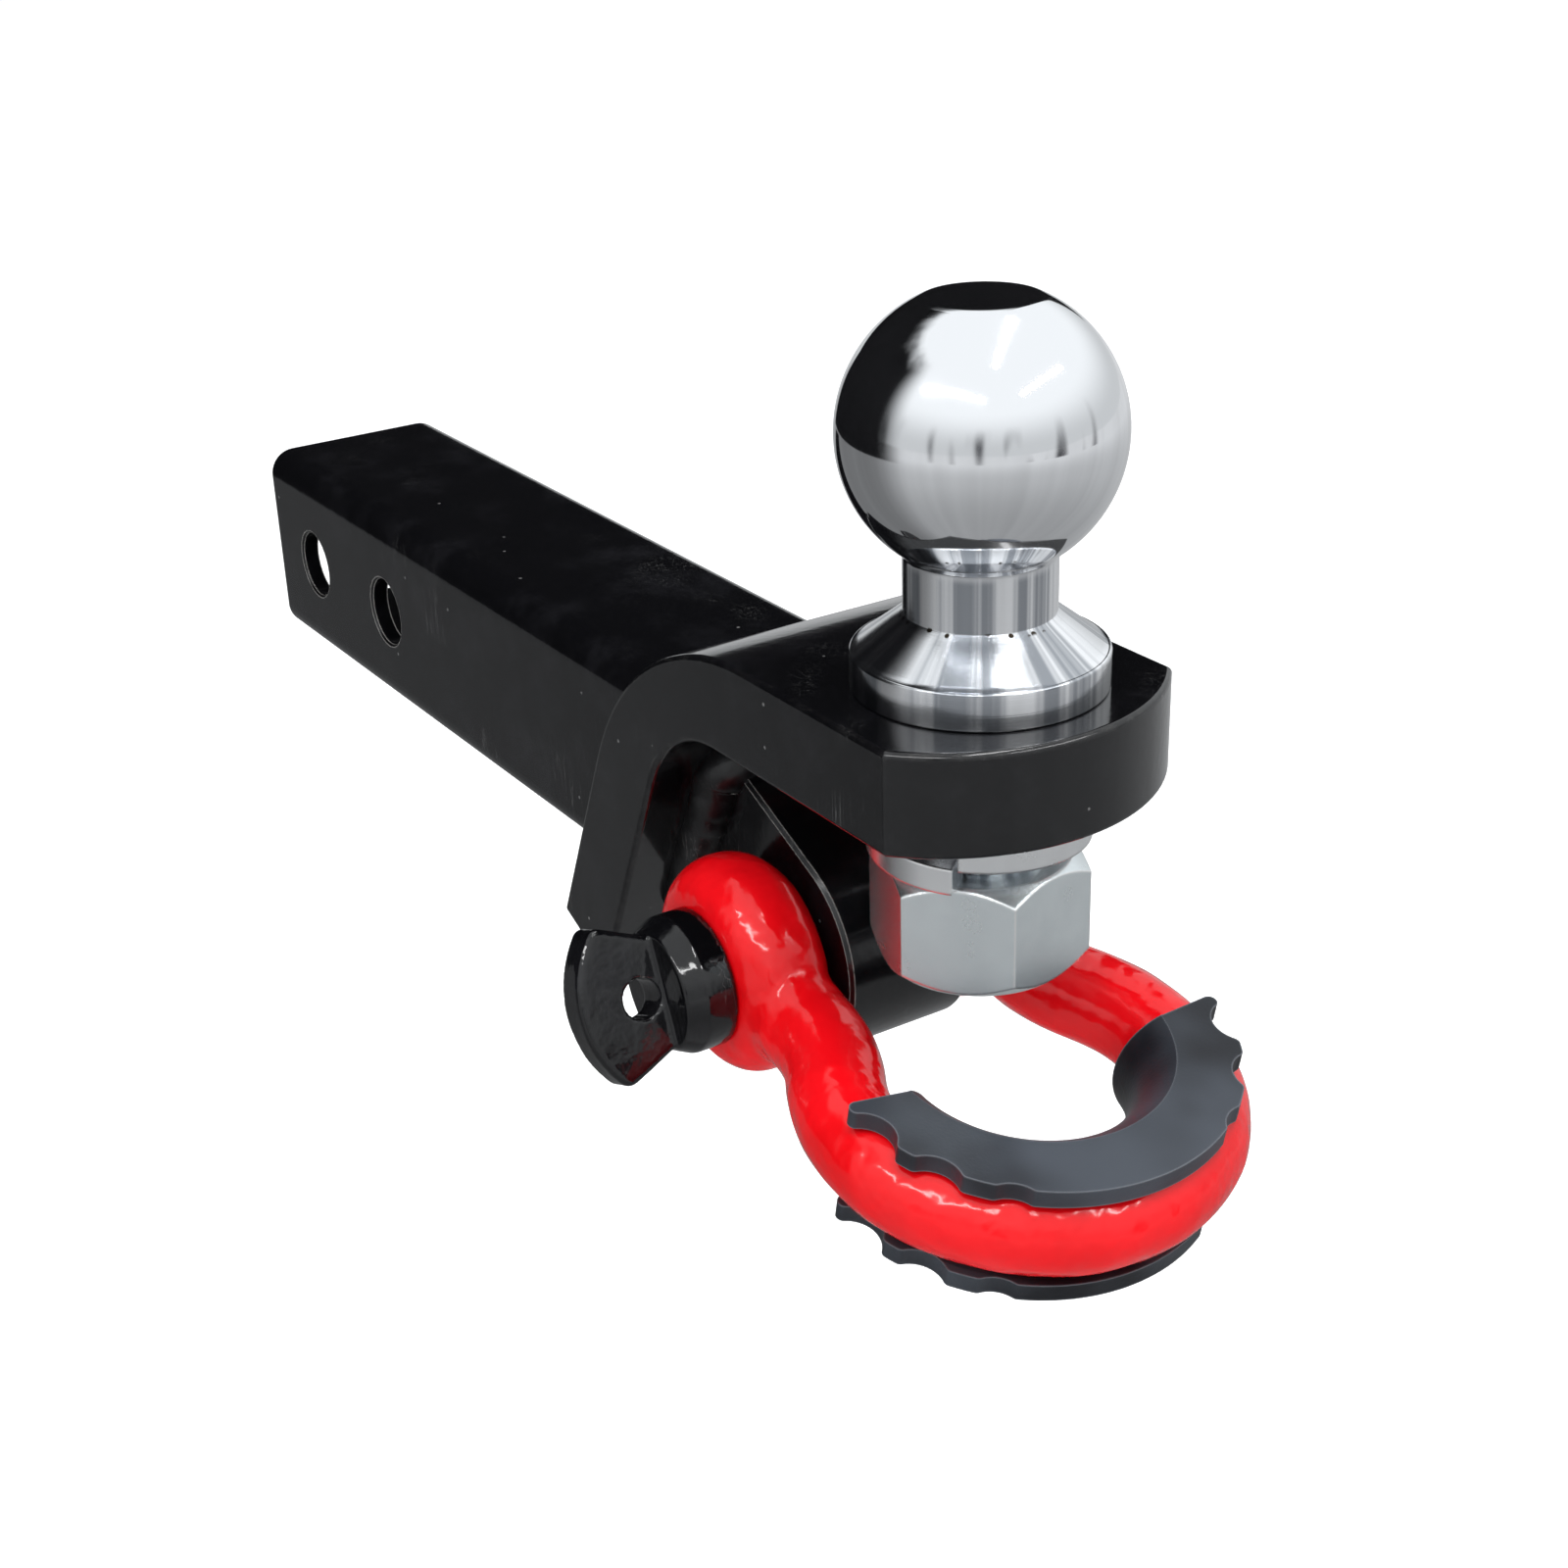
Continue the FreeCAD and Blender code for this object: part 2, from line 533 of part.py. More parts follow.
def makeBow():
    body = makeBody("shackle_bow")
    # the bar runs straight from each ear, flares outwards and goes round the crown
    sin_flare = "sin(<bowFlare> * 1deg)"
    cos_flare = "cos(<bowFlare> * 1deg)"
    # the radius of the flare that is tangent to the straight leg and to the crown
    flare = "((<bowRadius> * %s - %s) / (1 - %s))" % (cos_flare, EAR_MIDDLE, cos_flare)
    start = "(<bowCentre> - (<bowRadius> + %s) * %s)" % (flare, sin_flare)
    turnBar(body, "crown", "XZ_Plane", "180 + 2 * <bowFlare>", midplane=True, x="<bowCentre>",
            radius="<bowRadius>")
    beside = "(%s + %s)" % (EAR_MIDDLE, flare)
    turnBar(body, "nearFlare", "YZ_Plane", "<bowFlare>", x="-" + beside, z=start, radius=flare, reverse=True)
    turnBar(body, "farFlare", "YZ_Plane", "<bowFlare>", x=beside, z=start, radius="-" + flare)
    for name, side in (("near", "-"), ("far", "")):
        section = makeSketch(body, name + "LegSection", "YZ_Plane")
        addCircle(section, side + EAR_MIDDLE, "0", "<barRadius>")
        leg = addFeature(body, "Pad", name + "Leg", section)
        bind(leg, "Length", start)
    # each ear is a thick disc with a well rounded rim, and the bar tapers into it
    for name, side in (("near", "-"), ("far", "")):
        rim = makeSketch(body, name + "EarProfile", "YZ_Plane")
        outer = "(%s%s)" % (side, EAR_OUTER)
        inner = "(%s%s)" % (side, EAR_INNER)
        outer_in = "(%s(%s - <earRound>))" % (side, EAR_OUTER)
        inner_in = "(%s(%s + <earRound>))" % (side, EAR_INNER)
        shoulder = "(<earRadius> - <earRound>)"
        turn = 1 if side else -1
        corners = [(outer, "0"), (outer, shoulder), (outer_in, "<earRadius>"),
                   (inner_in, "<earRadius>"), (inner, shoulder), (inner, "0")]
        addOutline(rim, corners, {1: ("<earRound>", -turn), 3: ("<earRound>", -turn)})
        ear = addFeature(body, "Revolution", name + "Ear", rim, ReferenceAxis=(rim, ["H_Axis"]))
        ear.Angle = 360
        root = makeSketch(body, name + "RootSection", "YZ_Plane")
        addUprightEllipse(root, "(%s%s)" % (side, EAR_MIDDLE), "<earBlendHeight>", "<barRadius>")
        waist = makeSketch(body, name + "WaistSection", "YZ_Plane")
        bind(waist, "AttachmentOffset.Base.z", "<earBlendLength>")
        addCircle(waist, "(%s%s)" % (side, EAR_MIDDLE), "0", "<barRadius>")
        blend = addFeature(body, "AdditiveLoft", name + "Blend", root, Sections=[waist])
        blend.Ruled = False
    reach = value("<earBlendLength>")

    def blended(edge):
        """The seam between a rim and the taper, all round the bar."""
        spot = edge.CenterOfMass
        on_leg = near(abs(spot.y), value(EAR_MIDDLE), value("<earThickness> / 2"))
        return on_leg and 0.1 * reach < spot.x < 0.98 * reach and edge.Length > 2 * value("<barRadius>")
    dressEdges(body, "Fillet", "earBlendRounds", blended, "<earBlendRound>", "Radius")
    bores = makeSketch(body, "nearEarBore", "XZ_Plane")
    addCircle(bores, "0", "0", "(<pinRadius> + <nearEarClearance>)")
    near_cut = addFeature(body, "Pocket", "nearEarCut", bores, Type="Length")
    near_cut.Reversed = True
    bind(near_cut, "Length", EAR_OUTER + " * 1.1")
    far = makeSketch(body, "farEarBore", "XZ_Plane")
    addCircle(far, "0", "0", "(<pinRadius> + <farEarClearance>)")
    far_cut = addFeature(body, "Pocket", "farEarCut", far, Type="Length")
    bind(far_cut, "Length", EAR_OUTER + " * 1.1")
    placeOnPin(body, "<shackleTilt>")
    return body


def makePin():
    body = makeBody("shackle_pin")
    profile = makeSketch(body, "pinProfile", "XY_Plane")
    seat = "(-(%s + <collarGap>))" % EAR_OUTER
    face = "(%s - <collarLength>)" % seat
    end = "(%s + <pinEndProud>)" % EAR_OUTER
    # the pin is turned about its own Y axis
    addOutline(profile, [("0", end), ("0", face), ("(<collarRadius> - <collarBevel>)", face),
                         ("<collarRadius>", "(%s + <collarBevelLength>)" % face), ("<collarRadius>", seat),
                         ("<pinRadius>", seat), ("<pinRadius>", "(%s - <pinEndBevel>)" % end),
                         ("(<pinRadius> - <pinEndBevel>)", end)])
    turned = addFeature(body, "Revolution", "pinTurned", profile, ReferenceAxis=(profile, ["V_Axis"]))
    turned.Angle = 360
    dressEdges(body, "Fillet", "collarRounds",
               lambda edge: isCircle(edge, "<collarRadius>") and not near(edge.CenterOfMass.y, value(seat)),
               "<collarRound>", "Radius")
    tab = makeSketch(body, "tabProfile", "XY_Plane")
    root = "(%s + <collarLength> / 10)" % face
    tip = "(%s - <tabTipReach>)" % face
    top = "(%s - <tabReach>)" % face
    crown = "((<tabTip> ^ 2 + (<tabReach> - <tabTipReach>) ^ 2) / (2 * (<tabReach> - <tabTipReach>)))"
    addOutline(tab, [("-<tabNeck>", root), ("-<tabNeck>", face), ("-<tabTip>", tip), ("0", top),
                     ("<tabTip>", tip), ("<tabNeck>", face), ("<tabNeck>", root)],
               {2: (crown, 1), 3: (crown, 1)})
    pad = addFeature(body, "Pad", "tabFlat", tab, Midplane=True)
    bind(pad, "Length", "<tabThickness>")
    tip_x = value("<tabTip>")
    tip_y = value(tip)
    dressEdges(body, "Fillet", "tabCorners",
               lambda edge: near(abs(edge.CenterOfMass.x), tip_x) and near(edge.CenterOfMass.y, tip_y),
               "<tabCornerRound>", "Radius")
    face_y = value(face)
    dressEdges(body, "Fillet", "tabRound",
               lambda edge: edge.CenterOfMass.y < face_y - 0.5
               and near(abs(edge.CenterOfMass.z), value("<tabThickness> / 2")), "<tabEdgeRound>", "Radius")
    eye = makeSketch(body, "tabEye", "XY_Plane")
    addCircle(eye, "0", "(%s - <tabEyeReach>)" % face, "<tabEyeRadius>")
    pocketThrough(body, "tabEyeCut", eye)
    placeOnPin(body, "<tabTurn>")
    return body


def makeIsolator():
    body = makeBody("bow_isolator")
    section = makeSketch(body, "isolatorSection", "XZ_Plane")
    bar = "(<barRadius> + <isolatorGap>)"
    outer = "(%s + <isolatorFlange>)" % bar
    web = "(<bowRadius> - %s - <isolatorWeb>)" % bar
    lip = "<isolatorLipInner>"
    back = "((%s ^ 2 + (%s - %s) ^ 2) / (2 * (%s - %s)))" % (outer, lip, web, lip, web)
    edge = "<isolatorLipOuter>"
    corners = [(edge, bar), (edge, outer), (lip, outer), (web, "0"), (lip, "-" + outer),
               (edge, "-" + outer), (edge, "-" + bar), ("<bowRadius>", "-" + bar),
               ("(<bowRadius> - %s)" % bar, "0"), ("<bowRadius>", bar)]
    addOutline(section, corners, {2: (back, 1), 3: (back, 1), 7: (bar, -1), 8: (bar, -1)})
    sweep = addFeature(body, "Revolution", "isolatorChannel", section,
                       ReferenceAxis=(section, ["V_Axis"]))
    sweep.Midplane = True
    sweep.Angle = 190
    # both ends cut a little out of the radial line
    for name, side in (("near", "-"), ("far", "")):
        end = makeSketch(body, name + "EndCut", "XY_Plane")
        lean = "tan(<isolatorEndTilt> * 1deg)"
        inside = "(%s * 0.95)" % web
        outside = "(<isolatorLipOuter> * 1.25)"
        finish = "(<isolatorEnd> - (%s - <isolatorLipInner>) * %s)" % (outside, lean)
        behind = "(-<isolatorLipOuter> / 2)"
        addOutline(end, [("(<isolatorEnd> - <isolatorWebEnd>)", side + inside),
                         ("<isolatorEnd>", side + "<isolatorLipInner>"), (finish, side + outside),
                         (behind, side + outside), (behind, side + inside)])
        pocketThrough(body, name + "EndPocket", end)
    # scallops along the outer edge of both flanges, deeper towards each end
    for name, side in (("near", "-"), ("far", "")):
        for step in range(int(value("<scallopCount>"))):
            notch = makeSketch(body, "%sScallop%d" % (name, step + 1), "XY_Plane")
            angle = "(%s(<scallopFirst> + %d * <scallopPitch>) * 1deg)" % (side, step)
            depth = "(<scallopDepth> + %d * <scallopDeepening>)" % step
            reach = "(<isolatorLipOuter> - %s + <scallopRadius>)" % depth
            middle = ("(%s * cos%s)" % (reach, angle), "(%s * sin%s)" % (reach, angle))
            addCircle(notch, middle[0], middle[1], "<scallopRadius>")
            pocketThrough(body, "%sScallopCut%d" % (name, step + 1), notch)
    lip = value("<isolatorLipOuter>")
    dressEdges(body, "Fillet", "scallopRounds",
               lambda edge: near(math.hypot(edge.CenterOfMass.x, edge.CenterOfMass.y), lip, 0.02)
               and near(edge.Length, value("<isolatorFlange>"), 0.02), "<scallopRound>", "Radius")
    placeOnPin(body, "<shackleTilt>", "<bowCentre>", "-<isolatorShift>")
    return body


def rootOutline(joined, base):
    """Closed line round the faces with which one piece stands on another."""
    root = []
    for face in joined.Shape.Faces:
        low_u, high_u, low_v, high_v = face.ParameterRange
        middle = face.valueAt((low_u + high_u) / 2, (low_v + high_v) / 2)
        if base.Shape.distToShape(Part.Vertex(middle))[0] < 0.01:
            root.append(face)
    every = [edge for face in root for edge in face.Edges]
    rim = [edge for edge in every if sum(edge.isSame(other) for other in every) == 1]
    wires = [Part.Wire(chain) for chain in Part.sortEdges(rim)]
    return max(wires, key=lambda wire: wire.BoundBox.DiagonalLength)


def finishBead(label, shape, joined, base):
    """Weld metal as a piece of its own, cut back to the two pieces that it joins."""
    bead = doc.addObject("Part::Feature", label)
    bead.Label = label
    shape = shape.cut(base.Shape).cut(joined.Shape)
    bead.Shape = max(shape.Solids, key=lambda solid: solid.Volume)
    return bead


def makeShankBead(tube, plate):
    """Round bead that follows the slanting front end of the tube."""
    path = rootOutline(tube, plate)
    edge = path.OrderedEdges[0]
    heading = edge.tangentAt(edge.FirstParameter)
    ring = Part.Circle(edge.valueAt(edge.FirstParameter), heading, value("<shankBead>"))
    shape = path.makePipeShell([Part.Wire(ring.toShape())], True, True)
    return finishBead("shank_weld", shape, tube, plate)


def makeLugBead(lug, plate):
    """Bead round the square foot of the lug: a low block with its corners and its rim well rounded."""
    size = value("<lugBead>")
    sunk = value("<plateThickness> / 10")
    length = value("2 * <lugRadius>") + 2 * size
    width = value("<lugWidth>") + 2 * size
    block = Part.makeBox(length, width, sunk + size)
    uprights = [edge for edge in block.Edges if near(edge.BoundBox.ZLength, sunk + size)]
    block = block.makeFillet(value("<lugBead> * <lugBeadRound>"), uprights)
    rim = [edge for edge in block.Edges if near(edge.BoundBox.ZMin, sunk + size, 0.001)]
    block = block.makeFillet(value("<lugBead> * <lugBeadRound>"), rim)
    foot = slopePoint("<pinDrop> - <lugRadius> - <lugBead>", "<plateThickness> * 0.9")
    corner = Vector(value(foot[0]), -width / 2, value(foot[1]))
    block.Placement = Placement(corner, Rotation(Vector(0, 1, 0), 90 + value("<legSlant>")))
    return finishBead("lug_weld", block, lug, plate)


bent_plate = makeBentPlate()
shank_tube = makeShank()
shackle_lug = makeLug()
hitch_ball = makeHitchBall()
lock_washer = makeLockWasher()
hex_nut = makeNut()
shackle_bow = makeBow()
shackle_pin = makePin()
bow_isolator = makeIsolator()
doc.recompute()
shank_weld = makeShankBead(shank_tube, bent_plate)
lug_weld = makeLugBead(shackle_lug, bent_plate)
doc.recompute()

nodes = [shank_tube, bent_plate, shank_weld, shackle_lug, lug_weld, hitch_ball, lock_washer, hex_nut,
         shackle_bow, shackle_pin, bow_isolator]

for item in doc.Objects:
    if "Invalid" in item.State or "Error" in item.State:
        raise RuntimeError("%s did not compute: %s" % (item.Name, item.State))
for node in nodes:
    if node.Shape.isNull() or not node.Shape.isValid():
        raise RuntimeError("%s has no valid shape" % node.Label)

os.makedirs("parts", exist_ok=True)
for node in nodes:
    node.Shape.exportStep("parts/%s.step" % node.Label)
    box = node.Shape.BoundBox
    print("%s: %d solid, volume %.0f, x %.1f to %.1f, y %.1f to %.1f, z %.1f to %.1f" % (
        node.Label, len(node.Shape.Solids), node.Shape.Volume, box.XMin, box.XMax, box.YMin, box.YMax,
        box.ZMin, box.ZMax))
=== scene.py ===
import math

import bmesh
import bpy
from mathutils import Matrix, Vector, noise


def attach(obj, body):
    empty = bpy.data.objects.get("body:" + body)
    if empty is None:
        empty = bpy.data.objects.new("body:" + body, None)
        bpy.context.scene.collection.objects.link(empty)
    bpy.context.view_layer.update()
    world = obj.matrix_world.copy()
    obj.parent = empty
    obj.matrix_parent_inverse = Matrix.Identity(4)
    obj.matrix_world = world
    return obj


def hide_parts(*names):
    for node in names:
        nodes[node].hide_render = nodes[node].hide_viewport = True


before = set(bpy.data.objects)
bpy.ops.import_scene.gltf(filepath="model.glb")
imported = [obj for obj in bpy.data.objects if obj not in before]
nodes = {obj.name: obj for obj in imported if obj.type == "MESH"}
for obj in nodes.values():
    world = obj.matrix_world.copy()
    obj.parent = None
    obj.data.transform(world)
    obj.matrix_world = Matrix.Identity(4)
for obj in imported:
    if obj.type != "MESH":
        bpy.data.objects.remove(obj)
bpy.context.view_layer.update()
print("frame loaded:", len(nodes), "nodes")

# Sizes of the hitch that more than one piece uses, in metres and in the frame of the solids
hitch = {
    "pinAxis": Vector((0.169145, 0, -0.02382)),
    "ballAxis": 0.213,
    "tongueTop": 0.045,
    "plateThickness": 0.020,
    "legCrossing": 0.120,
    "legSlant": math.radians(24.6),
    "bendOutside": 0.0655,
}


# Small helpers for node trees

def addNode(tree, kind, values=None, links=None, **settings):
    node = tree.nodes.new(kind)
    for key, setting in settings.items():
        setattr(node, key, setting)
    for key, amount in (values or {}).items():
        node.inputs[key].default_value = amount
    for key, source in (links or {}).items():
        tree.links.new(source, node.inputs[key])
    return node


def calc(tree, operation, first, second=None, clamp=False):
    node = tree.nodes.new("ShaderNodeMath")
    node.operation = operation
    node.use_clamp = clamp
    for slot, source in enumerate((first, second)):
        if source is None:
            continue
        if isinstance(source, (int, float)):
            node.inputs[slot].default_value = source
        else:
            tree.links.new(source, node.inputs[slot])
    return node.outputs[0]


def inverse(tree, mask):
    return calc(tree, "SUBTRACT", 1.0, mask)


def ramp(tree, source, low, high):
    node = addNode(tree, "ShaderNodeMapRange", {"From Min": low, "From Max": high}, {"Value": source},
                   interpolation_type="SMOOTHSTEP")
    return node.outputs["Result"]


def blend(tree, mask, under, over, kind="FLOAT"):
    node = addNode(tree, "ShaderNodeMix", None, {"Factor": mask}, data_type=kind)
    socketType = "VALUE" if kind == "FLOAT" else kind
    for slot, amount in (("A", under), ("B", over)):
        socket = [s for s in node.inputs if s.name == slot and s.type == socketType][0]
        if isinstance(amount, (float, tuple)):
            socket.default_value = amount
        else:
            tree.links.new(amount, socket)
    return [s for s in node.outputs if s.type == socketType][0]


def tint(tree, mask, under, over):
    return blend(tree, mask, under, over, "RGBA")


def objectPlace(tree):
    return addNode(tree, "ShaderNodeTexCoord").outputs["Object"]


def cloud(tree, place, scale, detail, roughness=0.5):
    return addNode(tree, "ShaderNodeTexNoise", {"Scale": scale, "Detail": detail, "Roughness": roughness},
                   {"Vector": place}).outputs["Fac"]


def fromAxis(tree, axisX):
    # a place as seen from an upright axis: across, along and height
    parts = addNode(tree, "ShaderNodeSeparateXYZ", None, {"Vector": objectPlace(tree)})
    return calc(tree, "SUBTRACT", parts.outputs["X"], axisX), parts.outputs["Y"], parts.outputs["Z"]


def lengthOf(tree, across, along):
    return calc(tree, "SQRT", calc(tree, "ADD", calc(tree, "MULTIPLY", across, across),
                                   calc(tree, "MULTIPLY", along, along)))


def makeGroup(name, inputs, outputs, kind="ShaderNodeTree"):
    tree = bpy.data.node_groups.new(name, kind)
    for label, socketType, amount in inputs:
        socket = tree.interface.new_socket(label, in_out="INPUT", socket_type=socketType)
        if amount is not None:
            socket.default_value = amount
    for label, socketType in outputs:
        tree.interface.new_socket(label, in_out="OUTPUT", socket_type=socketType)
    return tree, tree.nodes.new("NodeGroupInput"), tree.nodes.new("NodeGroupOutput")


# Effects that several finishes share

def makeOrangePeel():
    tree, given, out = makeGroup("orangePeel", [
        ("Peel Scale", "NodeSocketFloat", 420.0), ("Lump Scale", "NodeSocketFloat", 90.0),
        ("Lump Share", "NodeSocketFloat", 0.7)], [("Height", "NodeSocketFloat")])
    place = objectPlace(tree)
    peel = addNode(tree, "ShaderNodeTexNoise", {"Detail": 1.0},
                   {"Vector": place, "Scale": given.outputs["Peel Scale"]}).outputs["Fac"]
    lump = addNode(tree, "ShaderNodeTexNoise", {"Detail": 1.5, "Distortion": 0.4},
                   {"Vector": place, "Scale": given.outputs["Lump Scale"]}).outputs["Fac"]
    tree.links.new(blend(tree, given.outputs["Lump Share"], peel, lump), out.inputs["Height"])
    return tree


edgeWearAndHighlightValues = {"samples": 6, "fullTurns": 6.0, "amountWeight": 0.4, "patchStart": 0.58, "patchFull": 0.74}


def makeEdgeWearAndHighlight():
    v = edgeWearAndHighlightValues
    # edge mask: used for real edge wear and for painted highlights along edges
    tree, given, out = makeGroup("edgeWearAndHighlight", [
        ("Width", "NodeSocketFloat", 0.0008), ("Breakup Scale", "NodeSocketFloat", 160.0),
        ("Amount", "NodeSocketFloat", 0.6), ("Least Turn", "NodeSocketFloat", 0.02)],
        [("Mask", "NodeSocketFloat")])
    # a corner is where the rounded normal turns away from the true one
    rounded = addNode(tree, "ShaderNodeBevel", None, {"Radius": given.outputs["Width"]}, samples=v["samples"])
    sharp = addNode(tree, "ShaderNodeNewGeometry").outputs["Normal"]
    facing = addNode(tree, "ShaderNodeVectorMath", None, {0: rounded.outputs["Normal"], 1: sharp},
                     operation="DOT_PRODUCT").outputs["Value"]
    turn = calc(tree, "DIVIDE", inverse(tree, facing), given.outputs["Least Turn"])
    edge = ramp(tree, turn, 1.0, v["fullTurns"])
    broken = addNode(tree, "ShaderNodeTexNoise", {"Detail": 4.0, "Roughness": 0.65},
                     {"Vector": objectPlace(tree), "Scale": given.outputs["Breakup Scale"]}).outputs["Fac"]
    raised = calc(tree, "ADD", broken, calc(tree, "MULTIPLY", given.outputs["Amount"], v["amountWeight"]))
    patches = ramp(tree, raised, v["patchStart"], v["patchFull"])
    tree.links.new(calc(tree, "MULTIPLY", edge, patches), out.inputs["Mask"])
    return tree


def makeSpecks():
    tree, given, out = makeGroup("specks", [
        ("Scale", "NodeSocketFloat", 150.0), ("Size", "NodeSocketFloat", 0.07),
        ("Share", "NodeSocketFloat", 0.06)], [("Mask", "NodeSocketFloat")])
    cells = addNode(tree, "ShaderNodeTexVoronoi", None,
                    {"Vector": objectPlace(tree), "Scale": given.outputs["Scale"]})
    dot = calc(tree, "LESS_THAN", cells.outputs["Distance"], given.outputs["Size"])
    pick = addNode(tree, "ShaderNodeSeparateColor", None, {"Color": cells.outputs["Color"]})
    chosen = calc(tree, "LESS_THAN", pick.outputs[0], given.outputs["Share"])
    tree.links.new(calc(tree, "MULTIPLY", dot, chosen), out.inputs["Mask"])
    return tree


scratchValues = {"lineWidth": 0.012, "shareWeight": 0.4, "zoneScale": 45.0, "zoneStart": 0.62,
                 "zoneFull": 0.72}


def makeScratches():
    v = scratchValues
    tree, given, out = makeGroup("scratches", [
        ("Stretch", "NodeSocketVector", (60.0, 900.0, 900.0)), ("Share", "NodeSocketFloat", 0.3)],
        [("Mask", "NodeSocketFloat")])
    place = objectPlace(tree)
    lay = addNode(tree, "ShaderNodeMapping", None, {"Vector": place, "Scale": given.outputs["Stretch"]})
    lines = cloud(tree, lay.outputs["Vector"], 1.0, 2.0)
    aside = calc(tree, "ABSOLUTE", calc(tree, "SUBTRACT", lines, 0.5))
    thin = inverse(tree, ramp(tree, aside, 0.0, v["lineWidth"]))
    where = cloud(tree, place, v["zoneScale"], 1.0)
    raised = calc(tree, "ADD", where, calc(tree, "MULTIPLY", given.outputs["Share"], v["shareWeight"]))
    zone = ramp(tree, raised, v["zoneStart"], v["zoneFull"])
    tree.links.new(calc(tree, "MULTIPLY", thin, zone), out.inputs["Mask"])
    return tree


turnedValues = {"bandScale": 3.4, "bandDetail": 3.0, "bandRoughness": 0.6, "darkBandStart": 0.44,
                "darkBandFull": 0.62}


def makeTurnedRingsAndReflection():
    v = turnedValues
    tree, given, out = makeGroup("turnedRingsAndReflection", [
        ("Axis X", "NodeSocketFloat", 0.213), ("Ring Scale", "NodeSocketFloat", 4200.0)],
        [("Height", "NodeSocketFloat"), ("Painted Reflection", "NodeSocketFloat"), ("Level", "NodeSocketFloat")])
    across, along, level = fromAxis(tree, given.outputs["Axis X"])
    radius = lengthOf(tree, across, along)
    pair = addNode(tree, "ShaderNodeCombineXYZ", None, {"X": radius, "Z": level})
    rings = addNode(tree, "ShaderNodeTexNoise", {"Detail": 2.0},
                    {"Vector": pair.outputs["Vector"], "Scale": given.outputs["Ring Scale"]}).outputs["Fac"]
    tree.links.new(rings, out.inputs["Height"])
    # painted reflection: light and dark bands that run up the turned faces
    bearing = addNode(tree, "ShaderNodeCombineXYZ", None, {"X": calc(tree, "DIVIDE", across, radius),
                                                           "Y": calc(tree, "DIVIDE", along, radius)})
    reflectionBands = cloud(tree, bearing.outputs["Vector"], v["bandScale"], v["bandDetail"], v["bandRoughness"])
    tree.links.new(ramp(tree, reflectionBands, v["darkBandStart"], v["darkBandFull"]), out.inputs["Painted Reflection"])
    tree.links.new(level, out.inputs["Level"])
    return tree


groups = {
    "orangePeel": makeOrangePeel(),
    "edgeWearAndHighlight": makeEdgeWearAndHighlight(),
    "specks": makeSpecks(),
    "scratches": makeScratches(),
    "turnedRingsAndReflection": makeTurnedRingsAndReflection(),
}
print("shared effects made:", len(groups))


# What every finish starts from

def startFinish(name, values):
    finish = bpy.data.materials.new(name)
    finish.use_nodes = True
    tree = finish.node_tree
    shader = tree.nodes["Principled BSDF"]
    for key, amount in values.items():
        shader.inputs[key].default_value = amount
    return finish, tree, shader


def effect(tree, name, values):
    node = tree.nodes.new("ShaderNodeGroup")
    node.node_tree = groups[name]
    for key, amount in values.items():
        node.inputs[key].default_value = amount
    return node.outputs


def bump(tree, shader, height, distance):
    node = addNode(tree, "ShaderNodeBump", {"Strength": 1.0, "Distance": distance}, {"Height": height})
    tree.links.new(node.outputs["Normal"], shader.inputs["Normal"])


# Black paint of the welded parts, the welds and the pin

blackPaints = {
    "blackPaint": {"lumpScale": 60.0, "peelDepth": 0.00010, "wearAndHighlight": 0.75, "edgeWidth": 0.0006,
                   "roughness": 0.15, "gloss": 0.12},
    "platePaint": {"lumpScale": 60.0, "peelDepth": 0.00010, "wearAndHighlight": 0.35, "edgeWidth": 0.0013,
                   "roughness": 0.15, "gloss": 0.45},
    "weldPaint": {"lumpScale": 150.0, "peelDepth": 0.00016, "wearAndHighlight": 0.25, "edgeWidth": 0.0006,
                  "roughness": 0.36, "gloss": 0.12},
    "pinBlack": {"lumpScale": 120.0, "peelDepth": 0.00016, "wearAndHighlight": 0.20, "edgeWidth": 0.0006,
                 "roughness": 0.10, "gloss": 0.12},
}
blackLook = {
    "colour": (0.0022, 0.0022, 0.0028, 1),
    "film": (0.0080, 0.0080, 0.0095, 1), "filmScale": 55.0, "filmStart": 0.45, "filmFull": 0.75,
    "dust": (0.20, 0.20, 0.20, 1), "scratchShow": 0.25, "speckShow": 0.6,
    "bareMetalAndHighlight": (0.46, 0.45, 0.43, 1), "bareRoughness": 0.38,
    "cloudScale": 34.0, "smoothest": 0.75, "roughest": 1.35,
    "specular": 0.56, "specularPerGloss": -0.4, "coatRoughness": 0.04,
}


